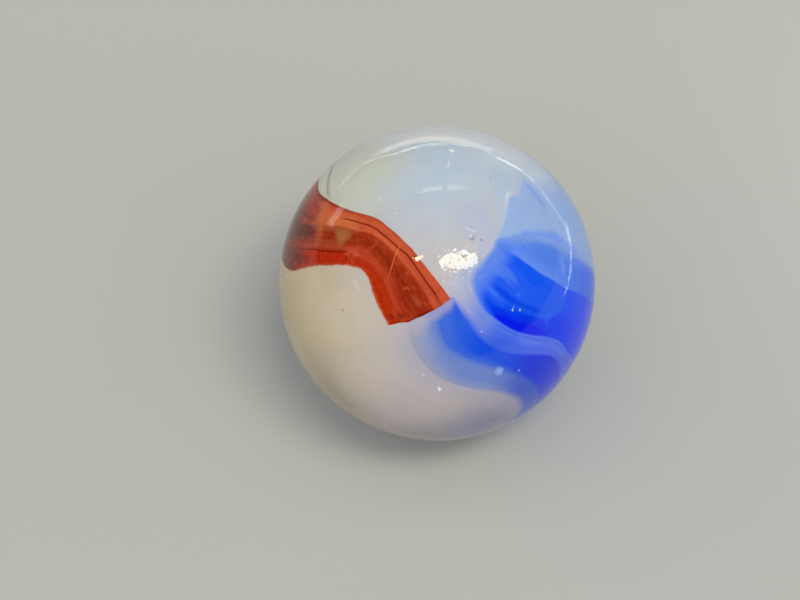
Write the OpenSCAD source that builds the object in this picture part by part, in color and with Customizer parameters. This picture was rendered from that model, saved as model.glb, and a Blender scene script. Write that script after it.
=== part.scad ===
// Glass marble.
// A solid ball of milk-white glass. A red ribbon and a blue swirl were laid on the hot gather,
// folded in, sheared off and rolled round with it. The glasses are fused and flush with each
// other, so the finished ball is one solid, and its ribbons are fields of colour that reach
// a little way below the surface. Use has left a chip and a few open bubbles in it.

/* [Ball] */
// Diameter of the finished ball
ball_d = 16; // [12:0.5:25]
// Lean of the swirl's face from straight up, in degrees
face_lean = 32; // [0:1:90]

/* [Red ribbon] */
// Width of the red ribbon at its sheared end
red_w = 3.2; // [1.5:0.1:4]
// How far the red glass reaches below the surface
red_depth = 0.9; // [0.4:0.1:2]
// Angle of the sheared end from square across the ribbon, in degrees
red_shear = 9; // [-20:1:20]
// Width of the dark streak along the ribbon, at its sheared end
streak_w = 0.8; // [0.3:0.1:1]

/* [Blue swirl] */
// Width of the deep blue lobe above the white thread, at its widest
upper_deep_w = 3.4; // [2:0.1:3.6]
// Width of the deep blue lobe below the white thread, at its widest
lower_deep_w = 2.1; // [1:0.1:2.4]
// How far the deep blue glass reaches below the surface
deep_depth = 1.8; // [1:0.1:3]
// Width of the mid blue layer above the deep blue, at its widest
mid_w = 2.8; // [1:0.1:3]
// How far the mid blue glass reaches below the surface
mid_depth = 1.1; // [0.8:0.1:1.5]
// Width of the pale veil above the mid blue, at its widest
upper_veil_w = 5.8; // [3:0.1:6]
// Width of the pale veil below the deep blue, at its widest
lower_veil_w = 2.2; // [1:0.1:2.6]
// How far the veils reach below the surface
veil_depth = 0.6; // [0.2:0.1:0.9]

/* [Marks] */
// Diameter of the chip at the ribbon's edge
chip_d = 0.3; // [0.1:0.05:0.8]
// Diameter of the largest open bubble near the middle of the face
bubble_d = 0.16; // [0.08:0.02:0.4]

/* [Hidden] */

ball_r = ball_d / 2;
round_fn = 128;
// Every band is drawn a little past the surface and then trimmed by the ball.
trim_over = 0.5;
// How far two glasses run into each other where they fuse.
fuse_lap = 0.02;
// Straight pieces between two stations of a path, and across a band.
steps_along = 2;
steps_across = 2;

milk_white = [0.80, 0.79, 0.76];
ribbon_red = [0.74, 0.20, 0.08];
streak_red = [0.45, 0.08, 0.03];
deep_blue = [0.02, 0.18, 0.90];
mid_blue = [0.30, 0.47, 0.92];
veil_blue = [0.60, 0.70, 0.90];

// Each path is a row of stations [longitude, latitude, width share]. They are seen from the
// swirl's face: longitude runs right and latitude runs up from the middle of the face, in
// degrees, and past 90 a station lies on the back.
RED_PATH = [
    [-150, 22, 0.15], [-134, 27, 0.75], [-114, 30, 1.15], [-95, 29, 1.35], [-78, 25, 1.40],
    [-64, 20, 1.28], [-52, 18, 1.10], [-41, 16.5, 0.92], [-31, 15, 0.82], [-24, 12, 0.75],
    [-18, 7.5, 0.76], [-14, 2, 0.85], [-10.5, -4, 0.94], [-7, -9.5, 1.00]
];
UPPER_DEEP_PATH = [
    [11.5, 0.5, 0.10], [13.5, 0, 0.50], [18, -0.5, 0.88], [26, -3.5, 1.00], [34, -6.5, 0.95],
    [43, -9.5, 0.84], [53, -12.5, 0.76], [63, -15.5, 0.84], [76, -19, 0.97], [94, -25, 0.95],
    [112, -32, 0.70], [126, -38, 0.35], [136, -43, 0.08]
];
LOWER_DEEP_PATH = [
    [4.5, -5, 0.10], [4.5, -10, 0.40], [7.5, -17.5, 0.66], [12.5, -23, 0.68], [20, -26, 0.55],
    [28, -27.8, 0.50], [38, -30, 0.64], [47, -32.5, 0.82], [56, -36.5, 0.96], [65, -41, 1.00],
    [76, -46, 0.95], [92, -51, 0.75], [108, -54, 0.45], [124, -56, 0.10]
];
MID_PATH = [
    [18, 8, 0.10], [22, 10.5, 0.28], [29, 9.5, 0.65], [37, 7.5, 0.85], [46, 5, 1.00],
    [56, 2, 1.00], [68, -1.5, 0.95], [84, -6, 0.90], [102, -12, 0.70], [120, -20, 0.35],
    [132, -26, 0.08]
];
UPPER_VEIL_PATH = [
    [22, 14.5, 0.15], [26, 20, 0.40], [34, 23, 0.56], [45, 24.5, 0.76], [60, 24, 0.95],
    [76, 21, 1.00], [94, 16, 0.90], [112, 8, 0.62], [126, 1, 0.30], [136, -5, 0.08]
];
LOWER_VEIL_PATH = [
    [-3, -16, 0.50], [-2.5, -20, 0.78], [0, -26, 0.86], [7, -30.5, 0.80], [16, -33, 0.84],
    [27, -35, 0.84], [37, -38, 0.80], [46, -43, 0.86], [54, -49.5, 1.00], [66, -56, 1.00],
    [88, -62, 0.75], [112, -65, 0.40], [130, -66, 0.08]
];
CHIP_PLACE = [-6.5, 8.3];
// Open bubbles, each with its share of bubble_d.
BUBBLES = [[9, 9.5, 1.0], [12, 15.5, 0.9], [26.5, -9, 0.8], [28.5, -4, 0.7], [15.5, 14.5, 0.6]];

// A station's direction from the ball's centre: right, up and out of the face.
function direction(station) =
    let (lon = station[0], lat = station[1])
    [cos(lat) * sin(lon), sin(lat), cos(lat) * cos(lon)];

function unit(v) = v / norm(v);

// A curve through b and c that keeps the trend of a and d, at t from 0 to 1.
function curve(a, b, c, d, t) =
    0.5 * (2 * b + (c - a) * t + (2 * a - 5 * b + 4 * c - d) * t ^ 2
        + (3 * b - a - 3 * c + d) * t ^ 3);

function clamped(list, i) = list[min(max(i, 0), len(list) - 1)];

// The same curve along a whole list of values, steps_along points to a station.
function smooth(list) = [
    for (i = [0:len(list) - 2], k = [0:steps_along - 1])
        curve(clamped(list, i - 1), list[i], list[i + 1], clamped(list, i + 2), k / steps_along),
    list[len(list) - 1]
];

// The angle at the ball's centre, in degrees, of a length along its surface.
function arc_angle(length) = length / ball_r * 180 / PI;

// The section of a band: an arc across the ball above the surface and one at its depth.
// p looks out at the middle of the band, side points across it.
function section(p, side, half_angle, depth) = [
    for (k = [0:steps_across])
        let (a = half_angle * (2 * k / steps_across - 1))
        (ball_r + trim_over) * (p * cos(a) + side * sin(a)),
    for (k = [steps_across:-1:0])
        let (a = half_angle * (2 * k / steps_across - 1))
        (ball_r - depth) * (p * cos(a) + side * sin(a))
];

// A ribbon of glass along a path of stations, from trim_over above the surface to depth
// below it. shear turns its last section, and lap draws it smaller all round.
module band(path, width, depth, lap = 0, shear = 0) {
    middle = [for (p = smooth([for (s = path) direction(s)])) unit(p)];
    share = smooth([for (s = path) s[2]]);
    last = len(middle) - 1;
    ring = 2 * (steps_across + 1);
    points = [
        for (i = [0:last])
            let (
                ahead = unit(clamped(middle, i + 1) - clamped(middle, i - 1)),
                turn = i == last ? shear : 0,
                pull_in = i == 0 ? lap : i == last ? -lap : 0,
                p = unit(middle[i] + ahead * pull_in / ball_r),
                side = unit(cross(p, ahead * cos(turn) - cross(p, ahead) * sin(turn))),
                half_angle = arc_angle(width * share[i] - lap) / 2
            )
            each section(p, side, half_angle, depth - lap)
    ];
    walls = [
        for (i = [0:last - 1], k = [0:ring - 1])
            let (a = i * ring + k, b = i * ring + (k + 1) % ring)
            each [[a, b, b + ring], [a, b + ring, a + ring]]
    ];
    // An end is a strip of quads from the outer arc to the inner one.
    start_end = [
        for (k = [0:steps_across - 1])
            each [[k, ring - 1 - k, ring - 2 - k], [k, ring - 2 - k, k + 1]]
    ];
    far_end = [for (f = start_end) [for (i = [2:-1:0]) f[i] + last * ring]];
    polyhedron(points, concat(walls, start_end, far_end));
}

module ball() {
    sphere(d = ball_d, $fn = round_fn);
}

module red_band(lap = 0) {
    band(RED_PATH, red_w, red_depth, lap, red_shear);
}

module streak_band(lap = 0) {
    band(RED_PATH, streak_w, red_depth / 2, lap, red_shear);
}

module deep_bands(lap = 0) {
    band(UPPER_DEEP_PATH, upper_deep_w, deep_depth, lap);
    band(LOWER_DEEP_PATH, lower_deep_w, deep_depth, lap);
}

module mid_band(lap = 0) {
    band(MID_PATH, mid_w, mid_depth, lap);
}

module veil_bands(lap = 0) {
    band(UPPER_VEIL_PATH, upper_veil_w, veil_depth, lap);
    band(LOWER_VEIL_PATH, lower_veil_w, veil_depth, lap);
}

module red_ribbon() {
    color(ribbon_red)
        difference() {
            intersection() {
                ball();
                red_band();
            }
            streak_band(fuse_lap);
        }
    color(streak_red)
        intersection() {
            ball();
            streak_band();
        }
}

// The deep blue lies over the mid blue, and both lie over the veils.
module blue_swirl() {
    color(deep_blue)
        intersection() {
            ball();
            deep_bands();
        }
    color(mid_blue)
        difference() {
            intersection() {
                ball();
                mid_band();
            }
            deep_bands(fuse_lap);
        }
    color(veil_blue)
        difference() {
            intersection() {
                ball();
                veil_bands();
            }
            deep_bands(fuse_lap);
            mid_band(fuse_lap);
        }
}

module milk_glass() {
    color(milk_white)
        difference() {
            ball();
            red_band(fuse_lap);
            deep_bands(fuse_lap);
            mid_band(fuse_lap);
            veil_bands(fuse_lap);
        }
}

// A small bowl in the surface, a fifth of its width deep.
module surface_bowl(place, bowl_d) {
    bowl_depth = bowl_d / 5;
    bowl_r = (bowl_d ^ 2 / 4 + bowl_depth ^ 2) / (2 * bowl_depth);
    translate(direction(place) * (ball_r + bowl_r - bowl_depth))
        sphere(r = bowl_r, $fn = round_fn / 4);
}

module surface_marks() {
    color(milk_white) {
        surface_bowl(CHIP_PLACE, chip_d);
        for (b = BUBBLES) surface_bowl(b, bubble_d * b[2]);
    }
}

module marble() {
    rotate([face_lean, 0, 0])
        difference() {
            union() {
                milk_glass();
                red_ribbon();
                blue_swirl();
            }
            surface_marks();
        }
}

marble();
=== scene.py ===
import math

import bpy
import numpy as np
from mathutils import Matrix, Vector


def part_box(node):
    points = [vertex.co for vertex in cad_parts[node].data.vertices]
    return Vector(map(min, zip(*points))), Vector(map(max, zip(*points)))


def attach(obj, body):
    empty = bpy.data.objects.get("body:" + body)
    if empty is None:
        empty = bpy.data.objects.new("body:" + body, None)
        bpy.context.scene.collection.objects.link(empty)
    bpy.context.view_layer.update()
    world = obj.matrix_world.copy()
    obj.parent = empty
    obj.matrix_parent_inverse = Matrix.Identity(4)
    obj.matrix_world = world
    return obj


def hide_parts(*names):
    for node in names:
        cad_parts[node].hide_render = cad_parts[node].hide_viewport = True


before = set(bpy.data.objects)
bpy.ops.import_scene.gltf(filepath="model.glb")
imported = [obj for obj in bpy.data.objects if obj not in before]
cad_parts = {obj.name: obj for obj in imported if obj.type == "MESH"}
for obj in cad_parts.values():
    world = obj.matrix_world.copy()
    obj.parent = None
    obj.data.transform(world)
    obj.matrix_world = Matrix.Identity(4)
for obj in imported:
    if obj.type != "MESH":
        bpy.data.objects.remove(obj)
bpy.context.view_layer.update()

ball_low, ball_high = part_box("marble")
ball_centre = (ball_low + ball_high) / 2
ball_r = (ball_high.x - ball_low.x) / 2


# ---- The camera -------------------------------------------------------------------------
# It looks down on the ball from the front, square on the middle of the swirl's face, from
# a hand's width away. The ball sits a little right of the picture's middle and above it.
CAMERA_LIFT = 58.0  # degrees above the horizon
CAMERA_AWAY = 0.095
PICTURE_PX = (800, 600)
BALL_MIDDLE_PX = (437.0, 282.8)
BALL_R_PX = 158.3
SENSOR_W = 36.0

lift = math.radians(CAMERA_LIFT)
ball_slope = math.tan(math.asin(ball_r / CAMERA_AWAY))
camera_data = bpy.data.cameras.new("camera")
camera_data.sensor_width = SENSOR_W
camera_data.lens = BALL_R_PX / ball_slope * SENSOR_W / PICTURE_PX[0]
camera_data.shift_x = (PICTURE_PX[0] / 2 - BALL_MIDDLE_PX[0]) / PICTURE_PX[0]
camera_data.shift_y = (BALL_MIDDLE_PX[1] - PICTURE_PX[1] / 2) / PICTURE_PX[0]
camera_data.clip_start = 0.001
camera = bpy.data.objects.new("camera", camera_data)
camera_back = Vector((0, -math.cos(lift), math.sin(lift)))
camera.location = ball_centre + camera_back * CAMERA_AWAY
camera.rotation_mode = "QUATERNION"
camera.rotation_quaternion = camera_back.to_track_quat("Z", "Y")
bpy.context.scene.collection.objects.link(camera)
bpy.context.scene.camera = camera


# ---- The ball of milk glass -------------------------------------------------------------
# A gob of hot milk-white glass, cut off the stream and rolled round between two grooved
# rollers until it is a true ball with a fire-polished skin. Every other glass is in it.
FACE_LEAN = 90 - CAMERA_LIFT  # the swirl's face leans this far from straight up
GRID = 128                    # squares along each side of the cube that is blown up to a ball
CHART_GAP = 0.004             # gap between the charts of the bake map
MM = 0.001
ball_r_mm = ball_r / MM


def unit(vectors):
    """The same directions at length one."""
    return vectors / np.linalg.norm(vectors, axis=-1, keepdims=True)


def face_direction(places):
    """[right, up] angles in degrees, seen from the middle of the swirl's face, as directions.
    The face looks along +Z here, and face_to_row leans it over towards the front."""
    right, up = np.radians(np.asarray(places, float)).T
    return np.stack([np.cos(up) * np.sin(right), np.sin(up), np.cos(up) * np.cos(right)], axis=-1)


def face_to_row(directions):
    """Directions seen from the swirl's face, leaned over about X into the axes of the row."""
    lean = np.radians(FACE_LEAN)
    x, y, z = np.moveaxis(directions, -1, 0)
    return np.stack([x, y * np.cos(lean) - z * np.sin(lean), y * np.sin(lean) + z * np.cos(lean)], -1)


def cube_ball(grid):
    """A unit ball blown up from a cube whose six sides carry grid x grid squares each.
    A point at (s, t) of a side, both running from -45 to 45 degrees, lies in the direction
    out + tan(s) across + tan(t) along. Returns welded points, squares and bake map places."""
    angle = np.radians(np.linspace(-45, 45, grid + 1))
    across, along = np.meshgrid(np.tan(angle), np.tan(angle), indexing="ij")
    sides = [((0, 0, 1), (1, 0, 0)), ((1, 0, 0), (0, 0, -1)), ((-1, 0, 0), (0, 0, 1)),
             ((0, 1, 0), (1, 0, 0)), ((0, -1, 0), (1, 0, 0)), ((0, 0, -1), (-1, 0, 0))]
    share = np.linspace(0, 1, grid + 1)
    s, t = np.meshgrid(share, share, indexing="ij")
    corner = np.arange((grid + 1) ** 2).reshape(grid + 1, grid + 1)
    square = np.stack([corner[:-1, :-1], corner[1:, :-1], corner[1:, 1:], corner[:-1, 1:]], -1)
    square = square.reshape(-1, 4)
    points, squares, charts = [], [], []
    for i, (out, right) in enumerate(sides):
        up = np.cross(out, right)
        directions = np.array(out) + across[..., None] * np.array(right) + along[..., None] * up
        column, row = i % 3, i // 3
        u = (column + CHART_GAP + s * (1 - 2 * CHART_GAP)) / 3
        v = (row + CHART_GAP + t * (1 - 2 * CHART_GAP)) / 2
        points.append(unit(directions).reshape(-1, 3))
        squares.append(square + i * corner.size)
        charts.append(np.stack([u, v], -1).reshape(-1, 2)[square].reshape(-1, 2))
    points = np.concatenate(points)
    squares = np.concatenate(squares)
    _, first, welded = np.unique(np.round(points, 6), axis=0, return_index=True, return_inverse=True)
    return points[first], welded.reshape(-1)[squares], np.concatenate(charts)


skin, skin_squares, skin_charts = cube_ball(GRID)
marks = {}  # numbers on every point of the skin that the glasses' colours are worked out from

glass = bpy.data.materials.new("swirled_glass")
glass.use_nodes = True
tree = glass.node_tree
tree.nodes.clear()


def paint(red, green, blue):
    """A colour as it looks on a screen, 0 to 255, turned into the light it sends back."""
    shade = np.array([red, green, blue]) / 255
    light = np.where(shade < 0.04045, shade / 12.92, ((shade + 0.055) / 1.055) ** 2.4)
    return tuple(float(part) for part in light)


def add(kind, *values, out=0, **settings):
    """One node of the glass. values fill its sockets in order, and None leaves one alone."""
    made = tree.nodes.new("ShaderNode" + kind)
    for name, setting in settings.items():
        setattr(made, name, setting)
    for socket, value in zip(made.inputs, values):
        if isinstance(value, bpy.types.NodeSocket):
            tree.links.new(value, socket)
        elif value is not None:
            socket.default_value = value
    return made.outputs[out]


def calc(operation, *values):
    """One sum, product or the like, named as Blender names it."""
    return add("Math", *values, operation=operation)


def fade(value, start, end, low=0.0, high=1.0):
    """Runs smoothly from low at start to high at end, and stays there."""
    return add("MapRange", value, start, end, low, high, interpolation_type="SMOOTHSTEP")


def times(value, *others):
    """The product of them all."""
    for other in others:
        value = calc("MULTIPLY", value, other)
    return value


def over(under, colour, share):
    """A colour laid over another one: share of it is seen."""
    colour = (*colour, 1) if isinstance(colour, tuple) else colour
    under = (*under, 1) if isinstance(under, tuple) else under
    return add("Mix", share, None, None, None, None, None, under, colour, out=2, data_type="RGBA")


def graded(under, value, laid):
    """Lays colours over another one in turn. Each is (colour, start, end, share), and its share
    grows with the value: none of it is seen at start and all of it at end."""
    for colour, start, end, share in laid:
        under = over(under, colour, fade(value, start, end, 0.0, share))
    return under


def kept(name, numbers):
    """Keeps a number for every point of the skin, and reads it in the glass."""
    marks[name] = numbers
    return add("Attribute", attribute_name=name, out=2)


def grain(place, scale, detail=3.0, roughness=0.5):
    """Irregular clouds around 0.5. They shrink as scale grows, and detail is how many finer
    layers lie on them."""
    return add("TexNoise", place, None, scale, detail, roughness)


def near(place, reach, soft):
    """1 within reach degrees of a place on the face, falling to 0 over soft degrees more."""
    angle = np.degrees(np.arccos(np.clip(skin @ face_direction(place), -1, 1)))
    share = np.clip((reach + soft - angle) / soft, 0, 1)
    return share * share * (3 - 2 * share)


def washed(under, laid):
    """Lays round washes over a colour, each (name, colour, share, place, reach, soft)."""
    for name, colour, share, place, reach, soft in laid:
        under = over(under, colour, kept(name, share * near(place, reach, soft)))
    return under


MILK = paint(189, 182, 186)
MILK_WARM = paint(197, 181, 152)
MILK_BROWN = paint(161, 145, 121)
MILK_GREENISH = paint(197, 200, 186)
MILK_COOL = paint(181, 195, 215)
MILK_ROSE = paint(188, 178, 181)
MILK_LOW_SHADE = paint(146, 134, 140)
MILK_VIOLET = paint(134, 132, 166)
MILK_SHADE = paint(146, 134, 126)
MILK_PINKISH = paint(210, 199, 188)
MILK_CLOUD = paint(168, 170, 178)
MILK_PALE = paint(210, 207, 196)
MILK_LIGHT = paint(206, 194, 180)
MILK_AMBER = paint(176, 156, 108)
TOP_SKY_REFLECTION = paint(212, 212, 214)
ARC_REFLECTION_LINE = paint(232, 229, 230)

mm_place = add("VectorMath", add("TexCoord", out=3), None, None, 1 / MM, operation="SCALE")
milk = washed(MILK, [
    ("warm", MILK_WARM, 1, (-66, -8), 16, 44),
    # The cool wash near the top of the face is a painted reflection of bright sky.
    ("cool", MILK_COOL, 1, (4, 52), 14, 38),
    ("greenish", MILK_GREENISH, 1, (-46, 40), 8, 26),
    # The brown, rose, dusk and violet washes tint and darken the ball's lower part: partly the milk's
    # own tint, partly painted shade.
    ("brown", MILK_BROWN, 1, (-62, -52), 6, 34),
    ("rose", MILK_ROSE, 1, (-4, -56), 8, 30),
    ("low_shade", MILK_LOW_SHADE, 1, (-6, -88), 12, 28),
    ("violet", MILK_VIOLET, 1, (46, -58), 4, 28)])
lightened = 0.5 * np.maximum(near((-36, -36), 3, 16), near((-32, -12), 3, 14))
milk = over(milk, MILK_LIGHT, kept("light", lightened))
milk = washed(milk, [
    ("amber", MILK_AMBER, 0.75, (-80, -10), 2, 30),
    # The top wash is a painted reflection of bright sky along the upper rim.
    ("top", TOP_SKY_REFLECTION, 0.8, (2, 86), 20, 15)])
clouds = grain(mm_place, 0.35, 4.0)
milk = graded(milk, clouds, [(MILK_WARM, 0.50, 0.75, 0.16), (MILK_COOL, 0.50, 0.25, 0.16)])
small_clouds = grain(mm_place, 1.3, 4.0, 0.65)
milk = graded(milk, small_clouds, [(MILK_PINKISH, 0.48, 0.72, 0.14), (MILK_CLOUD, 0.52, 0.28, 0.14)])


# ---- The veils and the thread -----------------------------------------------------------
# Blue glass trailed on the gob drew out thin veils of pale blue as it was folded in. A thread
# of milk glass, tinted by the blue on both sides, winds between its two deep lobes.
# A line's places are [right, up] degrees on the face, and past 90 it runs round the back.
THREAD_TOP = [
    (2, 72), (8, 52), (12.5, 38), (15.5, 28), (18, 20.5), (19.6, 16), (20, 13), (18, 10.3), (16, 8),
    (14, 5.5), (12.3, 3.5), (11.5, 1), (11.8, -2), (12.8, -4.5), (14.3, -7.3), (16.2, -9.8),
    (18.7, -11.8), (21.2, -13.4), (24, -15), (27, -16.4), (30, -17.4), (33, -18.1), (37, -18.7),
    (42, -19.2), (47, -20), (51, -20.9), (55, -22.5), (60, -25), (65, -26.9), (70, -28.4), (77, -30.5),
    (92, -37), (110, -43), (126, -44), (138, -41), (146, -34)]
THREAD_LOW = [
    (1, 4), (2.8, 0), (4.3, -2.7), (5.8, -5), (7.1, -7.2), (8.7, -9.9), (10.6, -12.9), (12.7, -15.8),
    (15.6, -18.8), (19, -21), (22, -22.5), (26, -23.8), (30, -24.6), (36, -25), (42, -25.2),
    (47, -25.4), (51, -26.1), (55, -27.6), (60, -30), (65, -33), (68, -35), (72, -37), (78, -40.5),
    (90, -47), (104, -51.5), (118, -54), (132, -53.5), (142, -50)]
VEIL_TOP = [
    (17, 8), (20.5, 14), (22.4, 17), (24.6, 20.3), (26.6, 24), (28.2, 27.5), (29.8, 30.4), (32, 31.6),
    (35, 32.2), (37, 34.4), (39, 37.2), (42, 40), (47, 42.5), (56, 45), (70, 46), (88, 44), (105, 38),
    (120, 27), (132, 12), (138, -2), (142, -20), (146, -40)]
HAZE_LEFT = [
    (19, 6), (21.6, 15), (22.2, 24), (22.6, 33), (24, 40), (27, 44.5), (33, 47.5), (42, 50), (54, 53),
    (70, 54), (90, 50), (108, 42), (124, 28), (136, 8), (144, -16)]
LOBE_START = (11.7, 1)  # the rounded left end of the blue lobe above the thread
LINE_STEPS = 12
NO_WIDTH = -2           # a streak's half width in mm past its ends, where it isn't seen


def flow_line(places):
    """A smooth line on the unit ball through the places: a Catmull-Rom curve through their
    directions, LINE_STEPS points to a stretch, pushed back out to the ball."""
    knots = face_direction(places)
    knots = np.concatenate([2 * knots[:1] - knots[1:2], knots, 2 * knots[-1:] - knots[-2:-1]])
    a, b, c, d = knots[:-3], knots[1:-2], knots[2:-1], knots[3:]
    t = np.linspace(0, 1, LINE_STEPS, endpoint=False)[:, None, None]
    bend, twist = 2 * a - 5 * b + 4 * c - d, 3 * b - a - 3 * c + d
    curve = 0.5 * (2 * b + (c - a) * t + bend * t**2 + twist * t**3)
    return unit(np.concatenate([curve.transpose(1, 0, 2).reshape(-1, 3), knots[-2:-1]]))


def measured_from(places, points=None):
    """How far each point of the skin lies from a line, in mm, positive on the line's left, and
    how far along the line its nearest point is. The distance is the angle from the great
    circle that follows the line at its nearest point."""
    line = flow_line(places)
    points = skin if points is None else points
    ahead = unit(np.gradient(line, axis=0))
    left = unit(np.cross(line, ahead))
    reached = np.concatenate([[0], np.cumsum(np.linalg.norm(np.diff(line, axis=0), axis=1))])
    nearest = np.argmax(points.astype(np.float32) @ line.T.astype(np.float32), axis=1)
    across = np.arcsin(np.clip(np.sum(points * left[nearest], axis=1), -1, 1))
    along = np.sum((points - line[nearest]) * ahead[nearest], axis=1)
    gap = np.gradient(reached)[nearest] / 2
    beyond = np.maximum(np.abs(along) - gap, 0)
    distance = np.where(across < 0, -1, 1) * np.hypot(across, beyond)
    return distance * ball_r_mm, (reached[nearest] + along) * ball_r_mm


def wavering(distance, share):
    """A distance with some of the waver of glass that ran together."""
    return calc("ADD", distance, times(waver, share))


def streaks(run, across, run_scale, across_scale, seed, detail=3.0):
    """Drawn-out streaks around 0: long along the run, fine across it."""
    place = add("CombineXYZ", times(run, run_scale), times(across, across_scale), seed)
    return calc("SUBTRACT", grain(place, 1.0, detail, 0.6), 0.5)


def waved(points):
    """A gentle irregular wave around 0 on the skin: three crossing ripples, one upon another."""
    x, y, z = points.T * ball_r_mm
    wide = np.sin(2.9 * x + 1.3 * y + 1.1 * np.sin(2.3 * z + 1.7 * y))
    middling = np.sin(3.7 * z - 2.1 * x + 0.9 * np.sin(4.1 * y))
    narrow = np.sin(7.3 * y + 5.1 * x - 3.9 * z)
    return (wide + middling + 0.6 * narrow) / 2.6


def drawn_along(stations):
    """Distance in mm from a streak's middle line, and its half width at the nearest place. The
    streak runs through [right, up, width in mm] stations and ends at the first and last."""
    places = [station[:2] for station in stations]
    off, run = measured_from(places)
    knots = measured_from(places, face_direction(places))[1]
    halves = [station[2] / 2 for station in stations]
    return off, np.interp(run, knots, halves, left=NO_WIDTH, right=NO_WIDTH)


def soft_streaks(under, name, laid):
    """Lays soft streaks over a colour, in turn. Each is (colour, soft, share, stations), and its
    edge takes soft mm to reach its full share. Neighbours of one colour are laid at once."""
    seen, colour = np.zeros(len(skin)), laid[0][0]
    for i, (next_colour, soft, share, stations) in enumerate(laid):
        if next_colour != colour:
            under = over(under, colour, kept(f"{name}_{i}", seen))
            seen, colour = np.zeros(len(skin)), next_colour
        off, half = drawn_along(stations)
        depth = np.clip((half - np.abs(off) + 0.25 * soft * waved(skin)) / soft, 0, 1)
        seen = 1 - (1 - seen) * (1 - share * depth * depth * (3 - 2 * depth))
    return over(under, colour, kept(f"{name}_last", seen))


def crisp_streaks(under, name, laid):
    """The same for streaks that are finer than the skin's squares: the glass itself works out
    where each one ends, from the distance and the half width."""
    for i, (colour, soft, share, stations) in enumerate(laid):
        off, half = drawn_along(stations)
        half, off = kept(f"{name}_{i}_half", half), kept(f"{name}_{i}_off", off)
        inside = calc("SUBTRACT", half, calc("ABSOLUTE", off))
        under = over(under, colour, fade(inside, 0.0, soft, 0.0, share))
    return under


HAZE = paint(173, 190, 217)
MILK_LAVENDER = paint(176, 183, 212)
LOBE_GLOW = paint(144, 160, 213)
VEIL = paint(151, 176, 226)
VEIL_LOW = paint(116, 152, 235)
VEIL_FAR = paint(136, 168, 226)
VEIL_RIM = paint(204, 212, 228)
VEIL_TOP_SKY_REFLECTION = paint(190, 203, 224)
RIM_SKY_REFLECTION = paint(204, 210, 222)
THREAD_WHITE = paint(168, 172, 207)
THREAD_PALE = paint(116, 138, 220)
THREAD_BLUE = paint(58, 96, 229)
THREAD_LIGHT = paint(86, 114, 236)
THREAD_RIGHT = paint(72, 100, 236)
THREAD_EDGE = paint(96, 128, 238)
THREAD_VIOLET = paint(66, 88, 228)

waver = calc("SUBTRACT", grain(mm_place, 1.3, 4.0, 0.6), 0.5)

thread_top, top_run = measured_from(THREAD_TOP)
lobe_run = measured_from(THREAD_TOP, face_direction([LOBE_START]))[1][0]
past_thread_top = kept("past_thread_top", thread_top)
upper_run = kept("upper_run", top_run - lobe_run)
thread_low, low_run = measured_from(THREAD_LOW)
past_thread_low = kept("past_thread_low", -thread_low)
lower_run = kept("lower_run", low_run)
in_veil_by = kept("in_veil_by", -measured_from(VEIL_TOP)[0])
in_haze_by = kept("in_haze_by", -measured_from(HAZE_LEFT)[0])

milk = soft_streaks(milk, "milk_streak", [
    (MILK_PINKISH, 0.16, 0.8, [(-92, 47, 0.3), (-80, 45.8, 0.4), (-72, 43.8, 0.5), (-65, 40.2, 0.5),
        (-58, 35.8, 0.42), (-52, 32.4, 0.25), (-48, 30.5, 0.08)]),
    (MILK_SHADE, 0.13, 0.75, [(-92, 50, 0.2), (-80, 49, 0.3), (-72, 47, 0.36), (-67, 44.8, 0.36),
        (-60, 40, 0.34), (-53, 33.8, 0.28), (-49, 31.1, 0.16), (-46.6, 29.5, 0.05)]),
    (MILK_PALE, 0.14, 0.5, [(-29.6, 3, 0.08), (-28.6, 0.4, 0.26), (-27.6, -2.4, 0.2),
        (-26.6, -5, 0.05)]),
    # The pale streaks at the upper left are painted reflections: broken pieces of the arc of mirrored
    # light.
    (MILK_PALE, 0.20, 0.5, [(-43, 44, 0.1), (-39, 46.5, 0.4), (-33, 50, 0.3), (-28, 52, 0.05)]),
    (MILK_PALE, 0.14, 0.7, [(-45.8, 34.6, 0.1), (-44.4, 36.4, 0.34), (-43, 38.6, 0.24),
        (-41.6, 40.6, 0.05)]),
    (MILK_PALE, 0.14, 0.5, [(-48, 37.4, 0.05), (-45, 42, 0.3), (-40, 46.4, 0.3), (-36, 49, 0.05)])])
# Painted reflections: a broad pale band under the upper arc of mirrored light, and thin pale lines
# where the arc is brightest.
milk = soft_streaks(milk, "arc_reflection_streak", [
    (TOP_SKY_REFLECTION, 0.45, 0.75, [(-48, 40, 0.1), (-40, 47, 0.6), (-30, 54, 0.9), (-21, 59, 1.2),
        (-11, 62, 1.4), (4, 62.5, 1.5), (20, 60, 1.3), (30, 56.6, 0.9), (39, 52, 0.7), (46, 46, 0.3)]),
    (ARC_REFLECTION_LINE, 0.20, 0.8, [(-16, 60, 0.05), (-12, 61.6, 0.24), (-5, 63.2, 0.30), (6, 63.4, 0.24),
        (15, 62, 0.05)]),
    (ARC_REFLECTION_LINE, 0.14, 0.7, [(-8, 55.4, 0.05), (-3, 56, 0.22), (3, 56.6, 0.26), (7, 55.6, 0.05)])])
milk = crisp_streaks(milk, "crease", [
    (MILK_SHADE, 0.05, 0.35, [(-37.4, -25.5, 0.02), (-33, -23.2, 0.06), (-27.8, -21.4, 0.07),
        (-21, -21, 0.06), (-17, -19.6, 0.02)])])

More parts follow.
